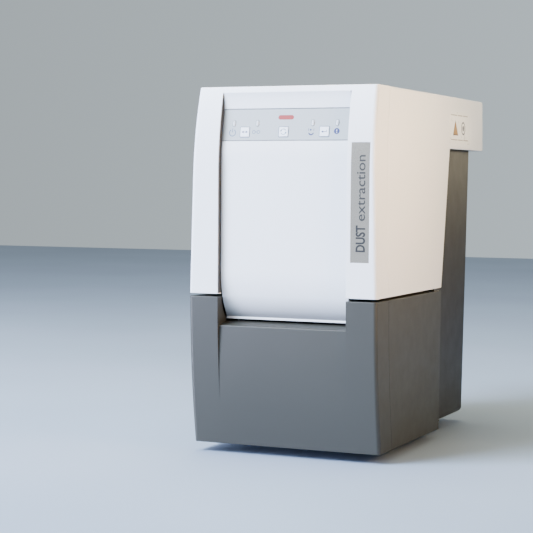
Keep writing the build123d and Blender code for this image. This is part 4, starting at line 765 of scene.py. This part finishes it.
# ---------------------------------------------------------------- lettering of the label plate
def plate_word(name, word, start, length, weight, material):
    """A generic word that reads upwards on the label plate and follows the curve of the front.

    A point of the lettering goes up by its place along the word, and to the left by its height;
    weight thickens the strokes.
    """
    text = bpy.data.curves.new(name, "FONT")
    text.body = word
    text.resolution_u = 4
    text.offset = weight
    letters = bpy.data.objects.new(name + "_letters", text)
    bpy.context.scene.collection.objects.link(letters)
    view = bpy.context.evaluated_depsgraph_get()
    drawn = bpy.data.meshes.new_from_object(letters.evaluated_get(view))
    bpy.data.objects.remove(letters)
    bpy.data.curves.remove(text)
    flat = np.empty(len(drawn.vertices) * 3)
    drawn.vertices.foreach_get("co", flat)
    flat = flat.reshape(-1, 3)[:, :2]
    faces = [list(face.vertices) for face in drawn.polygons]
    bpy.data.meshes.remove(drawn)
    flat = flat - (flat[:, 0].min(), 0)
    flat = flat * (length / flat[:, 0].max(), CAPITAL_HEIGHT / CAPITAL_SHARE)
    z = start + flat[:, 0]
    x = PLATE_BASELINE - flat[:, 1]
    y = -HALF_DEPTH + front_setback(z) - PRINT_LIFT
    mesh_piece(name, np.stack([x, y, z], -1), upward(flat, faces), material, "casing")


plate_word("plate_first_word", "DUST", 298.0 * MM, 37.0 * MM, 0.032, ink_dark)
plate_word("plate_second_word", "extraction", 341.0 * MM, 91.0 * MM, 0.008, ink_soft)

# ---------------------------------------------------------------- sticker on the right side of the hood
side_lean = atan2(HALF_WIDTH_LOW - HALF_WIDTH_TOP, COVER_TOP - SEAM_HEIGHT)
side_out = Vector((cos(side_lean), 0, sin(side_lean)))
side_up = Vector((-sin(side_lean), 0, cos(side_lean)))
sticker_height = 482.0 * MM
sticker_x = HALF_WIDTH_LOW - (sticker_height - SEAM_HEIGHT) * sin(side_lean) / cos(side_lean)
sticker_centre = Vector((sticker_x, 134.0 * MM, sticker_height))


def side_print(name, shapes, layer, material):
    """Graphics on the leaning right side of the hood; layer counts the prints under it."""
    lift = PRINT_LIFT * (1 + layer)
    return print_on(name, shapes, sticker_centre, BACKWARD, side_up, side_out, lift, material, "casing")


triangle_place, ring_place = -22.5 * MM, 19.5 * MM
sticker_outline = rounded_outline(112.0 * MM, 50.0 * MM, 3.0 * MM)
triangle_edge = triangle_shape(28.0 * MM, 24.0 * MM)
triangle_field = triangle_shape(23.0 * MM, 19.5 * MM)
side_print("sticker", [at(filled(sticker_outline), 0, 0)], 0, sticker_film)
side_print("sticker_triangle_edge", [at(triangle_edge, triangle_place, 0)], 1, ink_brown)
side_print("sticker_triangle", [at(triangle_field, triangle_place, -0.6 * MM)], 2, ink_amber)
side_print(
    "sticker_ring",
    [
        at(arc_shape(9.4 * MM, 2.6 * MM, 0, 360), ring_place, 0),
        at(disc_shape(4.6 * MM), ring_place, 0),
    ],
    1,
    ink_slate,
)
side_print(
    "sticker_lines",
    [
        at(bar_shape(width, 1.6 * MM), x, y)
        for y in (20.0 * MM, -19.0 * MM)
        for x, width in ((-30.0 * MM, 34.0 * MM), (3.0 * MM, 26.0 * MM), (32.0 * MM, 26.0 * MM))
    ],
    1,
    ink_faint,
)

# ---------------------------------------------------------------- floor, light and camera
def floor_paint(name, low, high):
    """Matt floor paint: a slow, cloudy change between two pale tones."""
    material, nodes, links, shader, coordinates = finish(name)
    cloud = noise(nodes, links, coordinates, 1.5, 2.0)
    links.new(ramp(nodes, links, cloud, low, high), shader.inputs["Base Color"])
    shader.inputs["Roughness"].default_value = 0.55
    return material


FLOOR_REACH, FLOOR_LINES = 6.0, 9  # half the floor's width, and the lines of its grid each way
marks_along = np.linspace(-FLOOR_REACH, FLOOR_REACH, FLOOR_LINES)
floor_x, floor_y = np.repeat(marks_along, FLOOR_LINES), np.tile(marks_along, FLOOR_LINES)
floor_points = np.stack([floor_x, floor_y, np.zeros(FLOOR_LINES**2)], -1)
floor_mesh = bpy.data.meshes.new("floor")
floor_mesh.from_pydata(floor_points.tolist(), [], grid_faces(FLOOR_LINES, FLOOR_LINES)[:, ::-1].tolist())
floor_mesh.materials.append(floor_paint("floor_paint", (0.25, 0.315, 0.42), (0.28, 0.35, 0.46)))
floor = bpy.data.objects.new("floor", floor_mesh)
bpy.context.scene.collection.objects.link(floor)

world = bpy.data.worlds.new("studio")
bpy.context.scene.world = world
world.use_nodes = True
sky_nodes, sky_links = world.node_tree.nodes, world.node_tree.links
direction = sky_nodes.new("ShaderNodeSeparateXYZ")
sky_links.new(sky_nodes.new("ShaderNodeTexCoord").outputs["Generated"], direction.inputs["Vector"])


def sky_ramp(axis, stops):
    """Light of the room along one axis: colours at places from -1 to 1, blended in between."""
    spread_out = sky_nodes.new("ShaderNodeMapRange")
    spread_out.inputs["From Min"].default_value = -1.0
    sky_links.new(direction.outputs[axis], spread_out.inputs["Value"])
    blend = sky_nodes.new("ShaderNodeValToRGB")
    marks = blend.color_ramp.elements
    while len(marks) < len(stops):
        marks.new(0.5)
    for mark, (place, colour, strength) in zip(marks, stops):
        mark.position = (place + 1) / 2
        mark.color = (*scaled(colour, strength), 1)
    sky_links.new(spread_out.outputs["Result"], blend.inputs["Fac"])
    return blend.outputs["Color"]


sideways = sky_ramp(
    "X",
    [
        (-1.0, (0.90, 0.97, 1.0), 0.33),
        (-0.15, (0.80, 0.93, 1.0), 0.72),
        (0.35, (1.0, 0.93, 0.78), 0.185),
        (1.0, (1.0, 0.97, 0.88), 0.147),
    ],
)
frontways = sky_ramp("Y", [(-1.0, (1.0, 1.0, 0.97), 0.166), (0.0, (0.0, 0.0, 0.0), 0.0)])
both_ways = sky_nodes.new("ShaderNodeMix")
both_ways.data_type = "RGBA"
both_ways.blend_type = "ADD"
both_ways.inputs["Factor"].default_value = 1.0
sky_links.new(sideways, both_ways.inputs["A"])
sky_links.new(frontways, both_ways.inputs["B"])
sky_links.new(both_ways.outputs["Result"], sky_nodes["Background"].inputs["Color"])


def softbox(name, place, aim, size, power, colour, beam=180.0):
    """A square studio light at a place, facing a point; its grid lets through the angle beam."""
    light = bpy.data.lights.new(name, "AREA")
    light.shape = "SQUARE"
    light.size = size
    light.energy = power
    light.color = colour
    light.spread = radians(beam)
    lamp = bpy.data.objects.new(name, light)
    lamp.location = place
    lamp.rotation_euler = (Vector(place) - Vector(aim)).to_track_quat("Z", "Y").to_euler()
    bpy.context.scene.collection.objects.link(lamp)


unit_middle = (0.0, 0.0, 0.28)
hood_side = (0.14, 0.0, 0.40)
softbox("window_left", (-1.7, -2.3, 2.9), unit_middle, 1.8, 539, (0.693, 0.827, 1.0))
softbox("front_fill", (-2.4, -2.0, 0.8), unit_middle, 1.6, 241, (0.645, 0.703, 1.0))
softbox("side_near", (0.85, -0.34, 0.55), (0.14, -0.2, 0.42), 0.4, 3.1, (1.0, 0.673, 0.368), 70.0)
softbox("side_high", (2.2, 0.5, 2.4), hood_side, 1.2, 10.0, (1.0, 0.90, 0.70))
softbox("top_light", (-0.3, 0.2, 2.6), unit_middle, 1.6, 93, (1.0, 0.882, 0.569))
softbox("tail_lamp", (0.95, 2.3, 0.75), (0.125, 0.15, 0.45), 0.5, 0.17, (1.0, 0.868, 0.594), 20.0)

CAMERA_PLACE = Vector((884.4, -2328.1, 392.3)) * MM
CAMERA_YAW, CAMERA_PITCH, CAMERA_ROLL = 0.41407, 0.05224, 0.00633
FOCAL_SHARE = 2.987674  # focal length, as a share of the sensor's width
SENSOR_WIDTH = 36.0  # millimetres, as cameras have it
reach = cos(CAMERA_PITCH)
ahead = Vector((-sin(CAMERA_YAW) * reach, cos(CAMERA_YAW) * reach, -sin(CAMERA_PITCH)))
level = Vector((cos(CAMERA_YAW), sin(CAMERA_YAW), 0))
above = level.cross(ahead)
tilted = cos(CAMERA_ROLL) * level + sin(CAMERA_ROLL) * above
raised = -sin(CAMERA_ROLL) * level + cos(CAMERA_ROLL) * above
camera_data = bpy.data.cameras.new("camera")
camera_data.sensor_width = SENSOR_WIDTH
camera_data.lens = SENSOR_WIDTH * FOCAL_SHARE
camera = bpy.data.objects.new("camera", camera_data)
camera.matrix_world = Matrix(
    [[tilted[i], raised[i], -ahead[i], CAMERA_PLACE[i]] for i in range(3)] + [[0, 0, 0, 1]]
)
bpy.context.scene.collection.objects.link(camera)
bpy.context.scene.camera = camera
